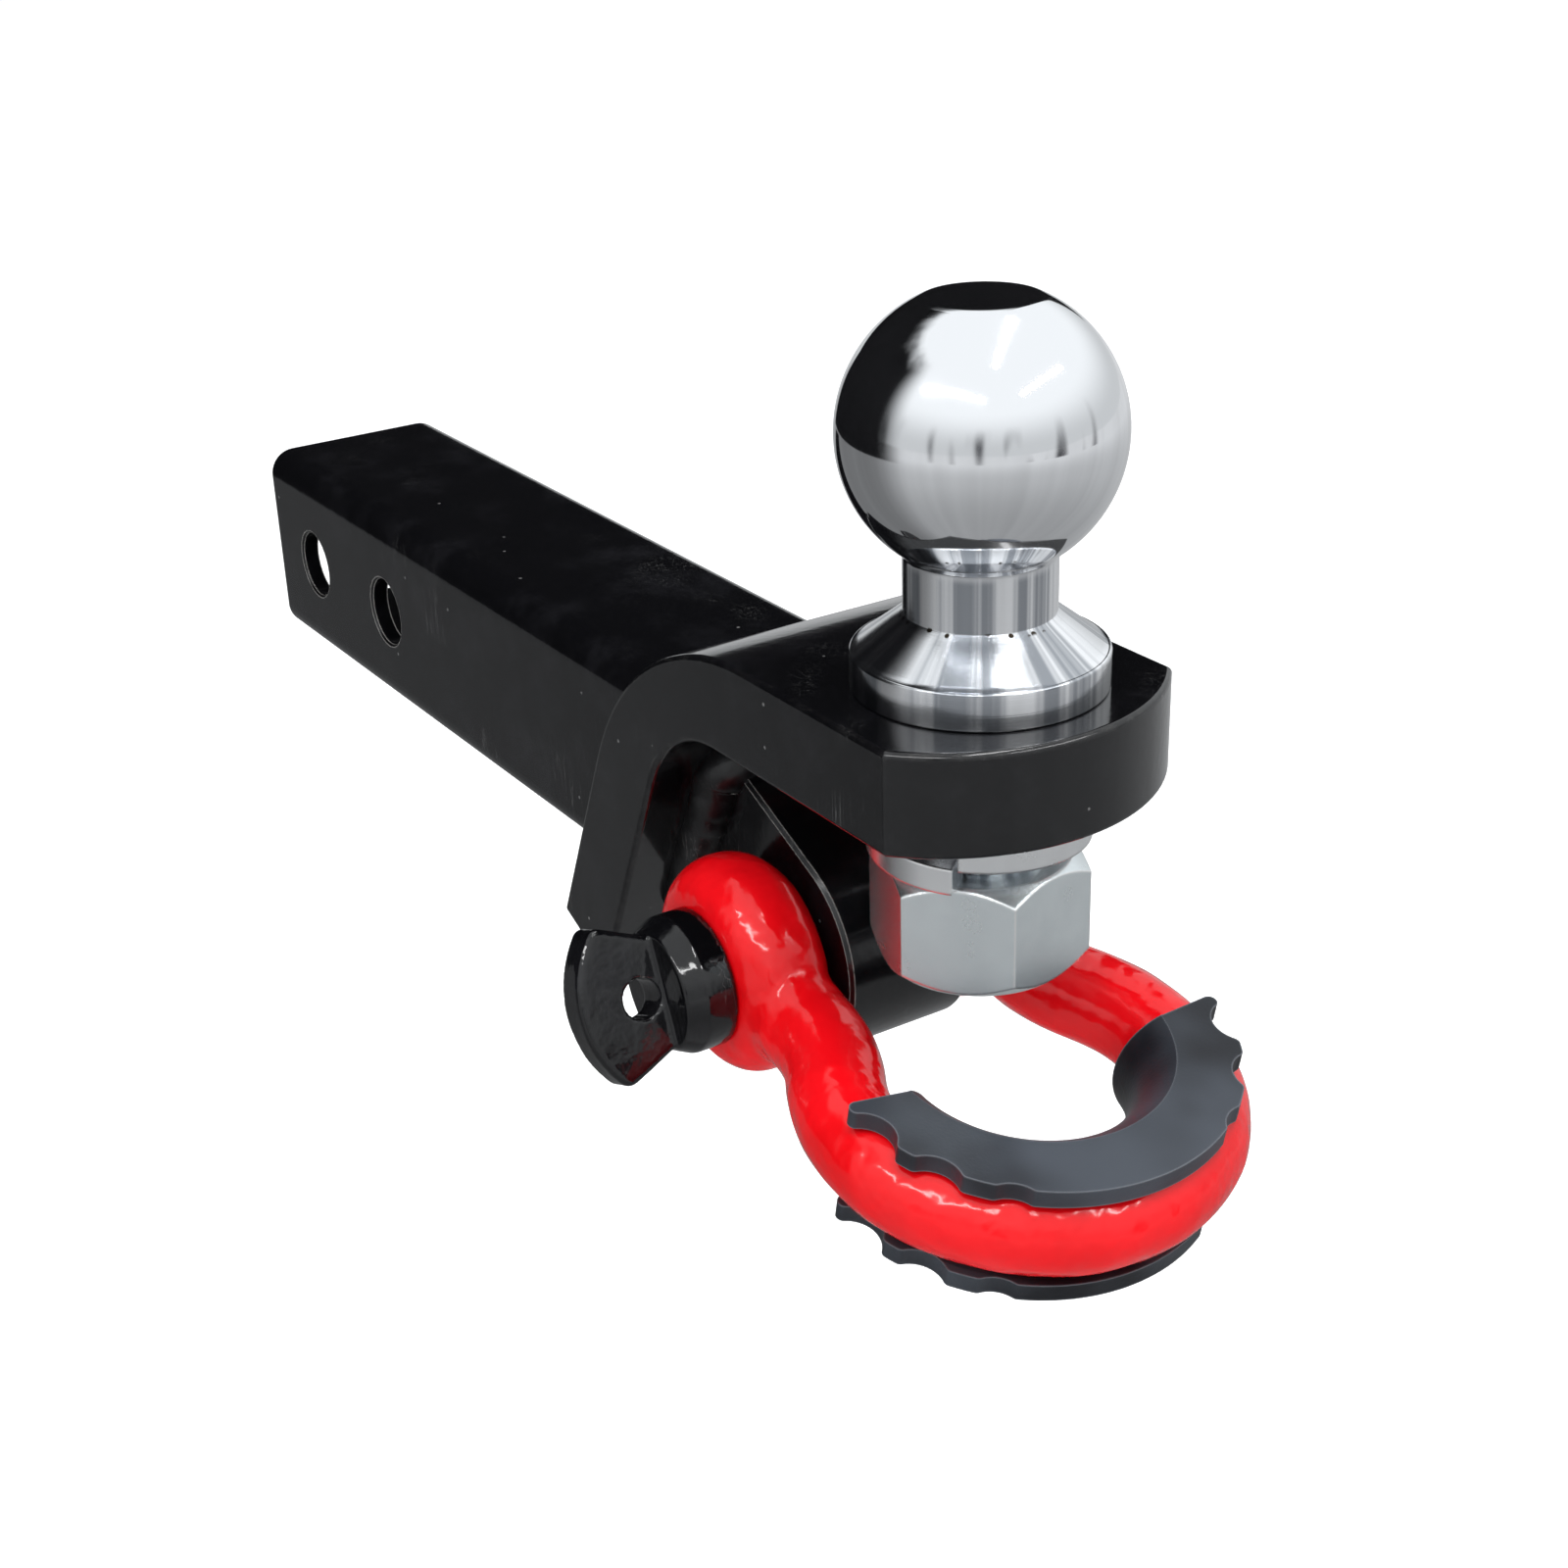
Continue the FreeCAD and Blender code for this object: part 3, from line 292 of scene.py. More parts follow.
def makeBlackPaint(name):
    paint = blackPaints[name]
    v = blackLook
    finish, tree, shader = startFinish(name, {
        "Specular IOR Level": v["specular"] + v["specularPerGloss"] * paint["gloss"],
        "Coat Weight": paint["gloss"], "Coat Roughness": v["coatRoughness"]})
    peel = effect(tree, "orangePeel", {"Peel Scale": 520.0, "Lump Scale": paint["lumpScale"],
                                       "Lump Share": 0.6})
    edgeMask = effect(tree, "edgeWearAndHighlight", {"Width": paint["edgeWidth"], "Breakup Scale": 330.0,
                                     "Amount": paint["wearAndHighlight"], "Least Turn": 0.02})
    dots = effect(tree, "specks", {"Scale": 210.0, "Size": 0.08, "Share": 0.10})
    marks = effect(tree, "scratches", {"Stretch": (520.0, 520.0, 24.0), "Share": 0.05})
    place = objectPlace(tree)
    film = ramp(tree, cloud(tree, place, v["filmScale"], 5.0, 0.7), v["filmStart"], v["filmFull"])
    colour = tint(tree, film, v["colour"], v["film"])
    colour = tint(tree, calc(tree, "MULTIPLY", marks["Mask"], v["scratchShow"]), colour, v["dust"])
    colour = tint(tree, calc(tree, "MULTIPLY", dots["Mask"], v["speckShow"]), colour, v["dust"])
    # edges turn pale grey: worn bare metal, and also a painted highlight along the edges
    colour = tint(tree, edgeMask["Mask"], colour, v["bareMetalAndHighlight"])
    tree.links.new(colour, shader.inputs["Base Color"])
    rough = blend(tree, cloud(tree, place, v["cloudScale"], 3.0), paint["roughness"] * v["smoothest"],
                  paint["roughness"] * v["roughest"])
    tree.links.new(blend(tree, edgeMask["Mask"], rough, v["bareRoughness"]), shader.inputs["Roughness"])
    bump(tree, shader, peel["Height"], paint["peelDepth"])
    return finish


# Red paint of the bow, thick and glossy

redLook = {
    "colour": (0.82, 0.0040, 0.0085, 1),
    "deep": (0.66, 0.0020, 0.0045, 1), "deepStart": 0.35, "deepFull": 0.75, "cloudScale": 42.0,
    "fleck": (0.86, 0.32, 0.30, 1), "fleckShow": 0.6,
    "peelDepth": 0.0015,
}


def makeRedPaint():
    v = redLook
    finish, tree, shader = startFinish("redPaint", {"Specular IOR Level": 0.5, "Roughness": 0.13})
    peel = effect(tree, "orangePeel", {"Peel Scale": 260.0, "Lump Scale": 72.0, "Lump Share": 0.78})
    dots = effect(tree, "specks", {"Scale": 130.0, "Size": 0.05, "Share": 0.04})
    cloudy = cloud(tree, objectPlace(tree), v["cloudScale"], 3.0)
    colour = tint(tree, ramp(tree, cloudy, v["deepStart"], v["deepFull"]), v["colour"], v["deep"])
    colour = tint(tree, calc(tree, "MULTIPLY", dots["Mask"], v["fleckShow"]), colour, v["fleck"])
    tree.links.new(colour, shader.inputs["Base Color"])
    bump(tree, shader, peel["Height"], v["peelDepth"])
    return finish


# Chrome of the ball: polished above the neck, turned metal below it, with painted light and dark reflection
# bands on the turned part

chromeLook = {
    "polished": (0.93, 0.94, 0.96, 1), "reflectionLight": (0.97, 0.98, 1.0, 1), "reflectionDark": (0.36, 0.38, 0.41, 1),
    "turnedFull": 0.0680, "turnedEnd": 0.0705, "turnedRoughness": 0.17, "ringDepth": 0.000012,
    "cloudScale": 60.0, "cloudStart": 0.4, "cloudFull": 0.7, "smoothest": 0.05, "roughest": 0.09,
    "pit": (0.05, 0.04, 0.03, 1), "pitRise": 0.0139, "pitFull": 0.0003, "pitEnd": 0.0007,
}


def makeBallChrome():
    v = chromeLook
    finish, tree, shader = startFinish("ballChrome", {"Metallic": 1.0})
    rings = effect(tree, "turnedRingsAndReflection", {"Axis X": hitch["ballAxis"], "Ring Scale": 5200.0})
    level = rings["Level"]
    turned = inverse(tree, ramp(tree, level, v["turnedFull"], v["turnedEnd"]))
    faint = ramp(tree, cloud(tree, objectPlace(tree), v["cloudScale"], 4.0), v["cloudStart"], v["cloudFull"])
    polish = blend(tree, faint, v["smoothest"], v["roughest"])
    tree.links.new(blend(tree, turned, polish, v["turnedRoughness"]), shader.inputs["Roughness"])
    # small dark pits in the corner between the cone and the neck
    pits = effect(tree, "specks", {"Scale": 620.0, "Size": 0.34, "Share": 0.42})
    corner = calc(tree, "ABSOLUTE", calc(tree, "SUBTRACT", level, hitch["tongueTop"] + v["pitRise"]))
    nearCorner = inverse(tree, ramp(tree, corner, v["pitFull"], v["pitEnd"]))
    pitted = calc(tree, "MULTIPLY", pits["Mask"], nearCorner)
    # the turned part's colour carries painted reflection bands, light and dark
    colour = tint(tree, turned, v["polished"], tint(tree, rings["Painted Reflection"], v["reflectionLight"], v["reflectionDark"]))
    tree.links.new(tint(tree, pitted, colour, v["pit"]), shader.inputs["Base Color"])
    bump(tree, shader, calc(tree, "MULTIPLY", rings["Height"], turned), v["ringDepth"])
    return finish


# Zinc plate of the nut and the washer

zincPlates = {
    "nutZinc": {"colour": (0.92, 0.98, 1.0), "roughness": 0.25, "wearAndHighlight": 1.5},
    "washerZinc": {"colour": (0.96, 0.97, 0.98), "roughness": 0.26, "wearAndHighlight": 1.0},
}
zincLook = {"metallic": 0.95, "cloudScale": 120.0, "darker": 0.82, "rubbedAndHighlight": (1.0, 1.0, 1.0, 1),
            "smoothest": 0.8, "roughest": 1.25, "cornerRound": 0.0008, "cornerSamples": 8}


def makeZinc(name):
    plate = zincPlates[name]
    v = zincLook
    finish, tree, shader = startFinish(name, {"Metallic": v["metallic"]})
    cloudy = cloud(tree, objectPlace(tree), v["cloudScale"], 5.0, 0.6)
    edgeMask = effect(tree, "edgeWearAndHighlight", {"Width": 0.0009, "Breakup Scale": 260.0, "Amount": plate["wearAndHighlight"],
                                     "Least Turn": 0.012})
    dark = tuple(v["darker"] * share for share in plate["colour"])
    shade = tint(tree, cloudy, plate["colour"] + (1,), dark + (1,))
    # edges turn white: rubbed zinc, and also a painted highlight along the chamfers and corners
    tree.links.new(tint(tree, edgeMask["Mask"], shade, v["rubbedAndHighlight"]), shader.inputs["Base Color"])
    rough = blend(tree, cloudy, plate["roughness"] * v["smoothest"], plate["roughness"] * v["roughest"])
    tree.links.new(rough, shader.inputs["Roughness"])
    # slightly rounded corners catch the light
    rounded = addNode(tree, "ShaderNodeBevel", {"Radius": v["cornerRound"]}, samples=v["cornerSamples"])
    tree.links.new(rounded.outputs["Normal"], shader.inputs["Normal"])
    return finish


# Grey rubber of the pad, with a pale bloom

rubberLook = {
    "colour": (0.0060, 0.0070, 0.0100, 1),
    "bloom": (0.046, 0.054, 0.068, 1), "bloomScale": 19.0, "bloomStart": 0.40, "bloomFull": 0.66,
    "edge": (0.15, 0.16, 0.18, 1), "edgeShow": 0.7,
    "smoothest": 0.34, "roughest": 0.5, "grainScale": 1400.0, "grainDepth": 0.00003,
}


def makeRubber():
    v = rubberLook
    finish, tree, shader = startFinish("isolatorRubber", {"Specular IOR Level": 0.35})
    place = objectPlace(tree)
    bloom = cloud(tree, place, v["bloomScale"], 3.0, 0.55)
    edgeMask = effect(tree, "edgeWearAndHighlight", {"Width": 0.0006, "Breakup Scale": 90.0, "Amount": 1.0,
                                     "Least Turn": 0.01})
    colour = tint(tree, ramp(tree, bloom, v["bloomStart"], v["bloomFull"]), v["colour"], v["bloom"])
    colour = tint(tree, calc(tree, "MULTIPLY", edgeMask["Mask"], v["edgeShow"]), colour, v["edge"])
    tree.links.new(colour, shader.inputs["Base Color"])
    tree.links.new(blend(tree, bloom, v["smoothest"], v["roughest"]), shader.inputs["Roughness"])
    bump(tree, shader, cloud(tree, place, v["grainScale"], 2.0), v["grainDepth"])
    return finish


finishes = {name: makeBlackPaint(name) for name in blackPaints}
finishes["redPaint"] = makeRedPaint()
finishes["ballChrome"] = makeBallChrome()
finishes.update({name: makeZinc(name) for name in zincPlates})
finishes["isolatorRubber"] = makeRubber()
print("finishes made:", len(finishes))


# Mesh helpers

def turnedPiece(name, rows, axisX, columns, tooth, finish, sharpAngle=35):
    # rows are (radius, height) from the bottom pole to the top pole; tooth is what a thread takes off
    points = [Vector((axisX, 0, rows[0][1]))]
    for radius, height in rows[1:-1]:
        for column in range(columns):
            angle = 2 * math.pi * column / columns
            reach = radius - tooth(height, angle)
            points.append(Vector((axisX + reach * math.cos(angle), reach * math.sin(angle), height)))
    points.append(Vector((axisX, 0, rows[-1][1])))
    faces = []
    rings = len(rows) - 2
    for column in range(columns):
        after = (column + 1) % columns
        faces.append((0, 1 + after, 1 + column))
        for ring in range(rings - 1):
            low = 1 + ring * columns
            faces.append((low + column, low + after, low + columns + after, low + columns + column))
        last = 1 + (rings - 1) * columns
        faces.append((last + column, last + after, len(points) - 1))
    mesh = bpy.data.meshes.new(name)
    mesh.from_pydata(points, [], faces)
    mesh.validate()
    mesh.shade_smooth()
    mesh.set_sharp_from_angle(angle=math.radians(sharpAngle))
    mesh.materials.append(finishes[finish])
    piece = bpy.data.objects.new(name, mesh)
    bpy.context.scene.collection.objects.link(piece)
    return piece


def arcRows(centre, radius, first, last, steps):
    # points of an arc in the (radius, height) plane, angles in degrees from the outward line
    rows = []
    for step in range(steps + 1):
        angle = math.radians(first + (last - first) * step / steps)
        rows.append((centre[0] + radius * math.cos(angle), centre[1] + radius * math.sin(angle)))
    return rows


def threadValley(height, angle, pitch, slope):
    # how far a thread is cut in, from 0 on its crest to 1 in its valley
    phase = (height / pitch - angle / (2 * math.pi)) % 1
    return max(0.0, 1 - abs(2 * phase - 1) * slope)


# Hitch ball, turned from its thread to the flat on its top

ballForging = {
    "radius": 0.0254, "height": 0.0464, "flat": 0.0233, "flatRings": (0.85, 0.6, 0.3),
    "rimStart": 0.00048, "rimOut": 0.0002, "rimDrop": 0.00012, "rimIn": 0.0003,
    "neck": 0.0138, "neckBase": 0.0138, "neckCorner": 0.0004, "neckBlend": 0.0015,
    "flange": 0.0234, "flangeHeight": 0.0072, "flangeLip": 0.0008, "flangeRound": 0.0005, "lipRise": 0.00005,
    "coneOut": 0.0006, "coneDrop": 0.0002, "coneSteps": 9,
    "shank": 0.0120, "shankLength": 0.0565, "shankBevel": 0.0015,
    "threadPitch": 0.0030, "threadDepth": 0.0014, "threadSlope": 1.25, "threadStart": 0.0001,
    "threadEnd": 0.0225, "threadRows": 12,
    "roundSteps": 4, "blendSteps": 6, "ballSteps": 120, "columns": 192,
}


def shankRows(b, bottom, top):
    rows = [(0, bottom), (b["shank"] - b["shankBevel"], bottom)]
    steps = int((b["threadEnd"] - bottom) / b["threadPitch"] * b["threadRows"])
    for step in range(1, steps):
        height = bottom + (b["threadEnd"] - bottom) * step / steps
        rows.append((min(b["shank"], b["shank"] - b["shankBevel"] + height - bottom), height))
    return rows + [(b["shank"], top)]


def flangeRows(b, top, cone):
    r = b["flangeRound"]
    shoulder = top + b["flangeHeight"]
    rows = arcRows((b["flange"] - r, top + r), r, -90, 0, b["roundSteps"])
    rows += arcRows((b["flange"] - r, shoulder - r), r, 0, 90, b["roundSteps"])
    edge = b["flange"] - b["flangeLip"]
    rows.append((edge, shoulder + b["lipRise"]))
    coneEnd = (b["neck"] + b["coneOut"], cone - b["coneDrop"])
    for step in range(1, b["coneSteps"]):
        share = step / b["coneSteps"]
        rows.append((edge + (coneEnd[0] - edge) * share, shoulder + (coneEnd[1] - shoulder) * share))
    return rows + [(b["neck"] + b["neckCorner"], cone), (b["neck"], cone + b["neckCorner"])]


def neckAndBallRows(b, centre):
    # the neck runs into the ball over a small round
    blendRadius = b["neckBlend"]
    join = centre - math.sqrt((b["radius"] + blendRadius) ** 2 - (b["neck"] + blendRadius) ** 2)
    meet = math.degrees(math.atan2(centre - join, b["neck"] + blendRadius))
    rows = arcRows((b["neck"] + blendRadius, join), blendRadius, 180, 180 - meet, b["blendSteps"])
    last = math.degrees(math.asin((b["flat"] - b["rimStart"]) / b["radius"]))
    rows += arcRows((0, centre), b["radius"], -meet, last, b["ballSteps"])[1:]
    rim = math.sqrt(b["radius"] ** 2 - b["flat"] ** 2)
    flat = centre + b["flat"]
    rows += [(rim + b["rimOut"], flat - b["rimDrop"]), (rim - b["rimIn"], flat)]
    rows += [(rim * share, flat) for share in b["flatRings"]]
    return rows + [(0, flat)]


def makeBallForging():
    b = ballForging
    top = hitch["tongueTop"]
    bottom = top - b["shankLength"]
    rows = shankRows(b, bottom, top) + flangeRows(b, top, top + b["neckBase"])
    rows += neckAndBallRows(b, top + b["height"])

    def tooth(height, angle):
        if height > b["threadEnd"] or height < bottom + b["threadStart"]:
            return 0
        fade = min(1.0, (b["threadEnd"] - height) / b["threadPitch"])
        return b["threadDepth"] * threadValley(height, angle, b["threadPitch"], b["threadSlope"]) * fade

    piece = turnedPiece("ballForging", rows, hitch["ballAxis"], b["columns"], tooth, "ballChrome")
    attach(piece, "root")
    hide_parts("hitch_ball")


makeBallForging()
print("hitch ball turned")


# Forgings: the solid's own mesh, remeshed so that the joins of its forms can be softened

forging = {"mergeDistance": 0.000002, "softenFactor": 0.5}


def softForging(name, node, voxel, smoothRounds):
    mesh = nodes[node].data.copy()
    piece = bpy.data.objects.new(name, mesh)
    bpy.context.scene.collection.objects.link(piece)
    work = bmesh.new()
    work.from_mesh(mesh)
    bmesh.ops.remove_doubles(work, verts=work.verts, dist=forging["mergeDistance"])
    work.to_mesh(mesh)
    work.free()
    remesh = piece.modifiers.new("remesh", "REMESH")
    remesh.mode = "VOXEL"
    remesh.voxel_size = voxel
    soften = piece.modifiers.new("soften", "SMOOTH")
    soften.factor = forging["softenFactor"]
    soften.iterations = smoothRounds
    # the evaluated mesh takes the modifiers' place
    sight = bpy.context.evaluated_depsgraph_get()
    softened = bpy.data.meshes.new_from_object(piece.evaluated_get(sight))
    piece.modifiers.clear()
    piece.data = softened
    return piece


def outwardLines(piece):
    return [Vector(normal.vector) for normal in piece.data.vertex_normals]


def paintForging(piece, finish):
    piece.data.materials.clear()
    piece.data.materials.append(finishes[finish])
    piece.data.shade_smooth()


# Bow of the shackle, with slight waves that stay clear of its bores

bowForging = {"voxel": 0.00062, "smoothRounds": 6, "wave": 0.00022, "waveScale": 75.0,
              "fineWave": 0.4, "fineScale": 2.3, "boreGuard": 0.0135, "guardFade": 0.004}


def makeBowForging():
    b = bowForging
    piece = softForging("bowForging", "shackle_bow", b["voxel"], b["smoothRounds"])
    axis = hitch["pinAxis"]
    for point, normal in zip(piece.data.vertices, outwardLines(piece)):
        reach = math.hypot(point.co.x - axis.x, point.co.z - axis.z)
        guard = min(1.0, max(0.0, (reach - b["boreGuard"]) / b["guardFade"]))
        wave = noise.noise(point.co * b["waveScale"])
        wave += b["fineWave"] * noise.noise(point.co * b["waveScale"] * b["fineScale"])
        point.co += normal * (wave * b["wave"] * guard)
    paintForging(piece, "redPaint")
    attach(piece, "shackle")
    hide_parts("shackle_bow")
    print("bow forged:", len(piece.data.polygons), "faces")


makeBowForging()


# Screw pin, with a rolled thread on its far end and a slightly wavy head

pinForging = {"voxel": 0.00048, "smoothRounds": 3, "shaft": 0.0110, "shaftLeast": 0.8,
              "threadFrom": 0.0150, "threadPitch": 0.0025, "threadDepth": 0.0011, "threadSlope": 1.2,
              "headFrom": -0.0362, "wave": 0.00012, "waveScale": 140.0, "waveSink": 0.6}


def makePinForging():
    p = pinForging
    piece = softForging("pinForging", "shackle_pin", p["voxel"], p["smoothRounds"])
    axis = hitch["pinAxis"]
    for point, normal in zip(piece.data.vertices, outwardLines(piece)):
        x = point.co.x - axis.x
        y = point.co.y
        z = point.co.z - axis.z
        reach = math.hypot(x, z)
        if y > p["threadFrom"] and reach > p["shaftLeast"] * p["shaft"]:
            valley = threadValley(y, math.atan2(z, x), p["threadPitch"], p["threadSlope"])
            shrink = 1 - p["threadDepth"] * valley / reach
            point.co.x = axis.x + x * shrink
            point.co.z = axis.z + z * shrink
        elif y < p["headFrom"]:
            point.co += normal * (noise.noise(point.co * p["waveScale"]) - p["waveSink"]) * p["wave"]
    paintForging(piece, "pinBlack")
    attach(piece, "pin")
    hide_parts("shackle_pin")
    print("pin forged:", len(piece.data.polygons), "faces")


makePinForging()


# Weld beads: a path along each joint, laid with a ripple by geometry nodes

def makeBeadTree():
    tree, given, out = makeGroup("weldBead", [
        ("Geometry", "NodeSocketGeometry", None), ("Bead Radius", "NodeSocketFloat", 0.004),
        ("Ripple Pitch", "NodeSocketFloat", 0.0022), ("Ripple Depth", "NodeSocketFloat", 0.16),
        ("Lump", "NodeSocketFloat", 0.0006), ("Lump Scale", "NodeSocketFloat", 160.0),
        ("Seed", "NodeSocketFloat", 3.0), ("Finish", "NodeSocketMaterial", None)],
        [("Geometry", "NodeSocketGeometry")], "GeometryNodeTree")
    line = addNode(tree, "GeometryNodeResampleCurve", {"Length": 0.0005},
                   {"Curve": given.outputs["Geometry"]}, mode="LENGTH")
    along = addNode(tree, "GeometryNodeSplineParameter").outputs["Length"]
    turn = calc(tree, "MULTIPLY", calc(tree, "DIVIDE", along, given.outputs["Ripple Pitch"]), math.pi)
    hollow = inverse(tree, calc(tree, "ABSOLUTE", calc(tree, "SINE", turn)))
    swell = inverse(tree, calc(tree, "MULTIPLY", hollow, given.outputs["Ripple Depth"]))
    radius = calc(tree, "MULTIPLY", swell, given.outputs["Bead Radius"])
    ring = addNode(tree, "GeometryNodeCurvePrimitiveCircle", {"Resolution": 28, "Radius": 1.0})
    tube = addNode(tree, "GeometryNodeCurveToMesh", {"Fill Caps": False},
                   {"Curve": line.outputs["Curve"], "Profile Curve": ring.outputs["Curve"], "Scale": radius})
    place = addNode(tree, "GeometryNodeInputPosition").outputs["Position"]
    lumps = addNode(tree, "ShaderNodeTexNoise", {"Detail": 2.0},
                    {"Vector": place, "Scale": given.outputs["Lump Scale"], "W": given.outputs["Seed"]},
                    noise_dimensions="4D").outputs["Fac"]
    push = calc(tree, "MULTIPLY", calc(tree, "SUBTRACT", lumps, 0.5), given.outputs["Lump"])
    normal = addNode(tree, "GeometryNodeInputNormal").outputs["Normal"]
    offset = addNode(tree, "ShaderNodeVectorMath", None, {0: normal, "Scale": push}, operation="SCALE")
    moved = addNode(tree, "GeometryNodeSetPosition", None,
                    {"Geometry": tube.outputs["Mesh"], "Offset": offset.outputs["Vector"]})
    smooth = addNode(tree, "GeometryNodeSetShadeSmooth", None, {"Geometry": moved.outputs["Geometry"]})
    real = addNode(tree, "GeometryNodeRealizeInstances", None, {"Geometry": smooth.outputs["Geometry"]})
    painted = addNode(tree, "GeometryNodeSetMaterial", None, {"Geometry": real.outputs["Geometry"],
                                                              "Material": given.outputs["Finish"]})
    tree.links.new(painted.outputs["Geometry"], out.inputs["Geometry"])
    return tree


beadTree = makeBeadTree()


def layBead(name, path, node, values):
    curve = bpy.data.curves.new(name, "CURVE")
    curve.dimensions = "3D"
    spline = curve.splines.new("POLY")
    spline.points.add(len(path) - 1)
    for point, place in zip(spline.points, path):
        point.co = (place.x, place.y, place.z, 1)
    spline.use_cyclic_u = True
    guide = bpy.data.objects.new(name + "Path", curve)
    bpy.context.scene.collection.objects.link(guide)
    layer = guide.modifiers.new("bead", "NODES")
    layer.node_group = beadTree
    sockets = {item.name: item.identifier for item in beadTree.interface.items_tree if item.in_out == "INPUT"}
    for key, amount in values.items():
        layer[sockets[key]] = amount
    layer[sockets["Finish"]] = finishes["weldPaint"]
    sight = bpy.context.evaluated_depsgraph_get()
    mesh = bpy.data.meshes.new_from_object(guide.evaluated_get(sight))
    bpy.data.objects.remove(guide)
    piece = bpy.data.objects.new(name, mesh)
    bpy.context.scene.collection.objects.link(piece)
    mesh.shade_smooth()
    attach(piece, "root")
    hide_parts(node)
    print(name, "laid:", len(mesh.polygons), "faces")


def roundedLoop(halfWide, halfHigh, corner, steps=8):
    loop = []
    for quarter, (sideY, sideZ) in enumerate(((1, 1), (-1, 1), (-1, -1), (1, -1))):
        for step in range(steps + 1):
            angle = math.radians(90 * quarter + 90 * step / steps)
            loop.append((sideY * (halfWide - corner) + corner * math.cos(angle),
                         sideZ * (halfHigh - corner) + corner * math.sin(angle)))
    return loop


# Bead round the front end of the tube, on the rear face of the leg and its bend

shankBead = {"half": 0.0250, "corner": 0.0065,
             "bead": {"Bead Radius": 0.0041, "Ripple Pitch": 0.0024, "Ripple Depth": 0.10,
                      "Lump": 0.0010, "Lump Scale": 130.0, "Seed": 3.0}}


def backOfLegX(height):
    # how far forward the rear face stands at a height
    slant = hitch["legSlant"]
    r = hitch["bendOutside"]
    middle = hitch["tongueTop"] - r
    tangent = middle + r * math.sin(slant)
    if height <= tangent:
        return hitch["legCrossing"] + height * math.tan(slant)
    centreX = hitch["legCrossing"] + tangent * math.tan(slant) + r * math.cos(slant)
    return centreX - math.sqrt(r * r - (height - middle) ** 2)


def makeShankBead():
    s = shankBead
    loop = roundedLoop(s["half"], s["half"], s["corner"])
    path = [Vector((backOfLegX(z), y, z)) for y, z in loop]
    layBead("shankBead", path, "shank_weld", s["bead"])


makeShankBead()


# Bead round the foot of the lug, which follows the leg's front face up into the bend

lugBead = {"halfWide": 0.0150, "top": -0.0218, "bottom": 0.0242, "corner": 0.004,
           "bendStart": -0.0095, "bendRadius": 0.028,
           "bead": {"Bead Radius": 0.0062, "Ripple Pitch": 0.0052, "Ripple Depth": 0.02,
                    "Lump": 0.0030, "Lump Scale": 95.0, "Seed": 8.0}}


def makeLugBead():
    g = lugBead
    slant = hitch["legSlant"]
    down = Vector((-math.sin(slant), 0, -math.cos(slant)))
    outward = Vector((math.cos(slant), 0, -math.sin(slant)))
    foot = Vector((hitch["legCrossing"], 0, 0)) + outward * hitch["plateThickness"]
    middle = (g["top"] + g["bottom"]) / 2
    path = []
    for y, offset in roundedLoop(g["halfWide"], (g["bottom"] - g["top"]) / 2, g["corner"]):
        along = middle + offset
        rise = 0.0
        if along < g["bendStart"]:
            rise = g["bendRadius"] - math.sqrt(max(g["bendRadius"] ** 2 - (g["bendStart"] - along) ** 2, 0))
        path.append(foot + down * along + outward * rise + Vector((0, y, 0)))
    layBead("lugBead", path, "lug_weld", g["bead"])


makeLugBead()


# The solids that keep their own form get their finish

nodeFinish = {
    "shank_tube": "blackPaint", "bent_plate": "platePaint", "shackle_lug": "blackPaint",
    "lock_washer": "washerZinc", "hex_nut": "nutZinc", "bow_isolator": "isolatorRubber",
}
for node, finish in nodeFinish.items():
    nodes[node].data.materials.clear()
    nodes[node].data.materials.append(finishes[finish])
print("finishes on the solids:", len(nodeFinish))


# Camera at the photograph's place; angles in radians, focal length and principal point in its pixels

view = {
    "place": Vector((0.52954, -0.24135, 0.20981)),
    "yaw": 1.027, "pitch": 0.45, "roll": -0.041,
    "sensor": 36.0, "focal": 2431.28, "pictureSize": 1600.0,
    "principal": (762.589, 839.947), "clipStart": 0.01,
}


def makeCamera():
    v = view
    forward = Vector((-math.sin(v["yaw"]) * math.cos(v["pitch"]), math.cos(v["yaw"]) * math.cos(v["pitch"]),
                      -math.sin(v["pitch"])))
    level = Vector((math.cos(v["yaw"]), math.sin(v["yaw"]), 0))
    lift = level.cross(forward)
    right = math.cos(v["roll"]) * level + math.sin(v["roll"]) * lift
    up = -math.sin(v["roll"]) * level + math.cos(v["roll"]) * lift
    data = bpy.data.cameras.new("camera")
    data.sensor_width = v["sensor"]
    data.lens = v["sensor"] * v["focal"] / v["pictureSize"]
    data.shift_x = (v["pictureSize"] / 2 - v["principal"][0]) / v["pictureSize"]
    data.shift_y = (v["principal"][1] - v["pictureSize"] / 2) / v["pictureSize"]
    data.clip_start = v["clipStart"]
    camera = bpy.data.objects.new("camera", data)
    camera.matrix_world = Matrix((
        (right.x, up.x, -forward.x, v["place"].x),
        (right.y, up.y, -forward.y, v["place"].y),
        (right.z, up.z, -forward.z, v["place"].z),
        (0, 0, 0, 1)))
    bpy.context.scene.collection.objects.link(camera)
    bpy.context.scene.camera = camera


makeCamera()


# Helpers for the stage

def stageMesh(name, points, faces, finish):
    mesh = bpy.data.meshes.new(name)
    mesh.from_pydata(points, [], faces)
    mesh.materials.append(finish)
    card = bpy.data.objects.new(name, mesh)
    bpy.context.scene.collection.objects.link(card)
    return card


def onlyMirrored(card):
    # the card shows in metal and gloss paint alone
    card.visible_camera = False
    card.visible_diffuse = False
    card.visible_shadow = False


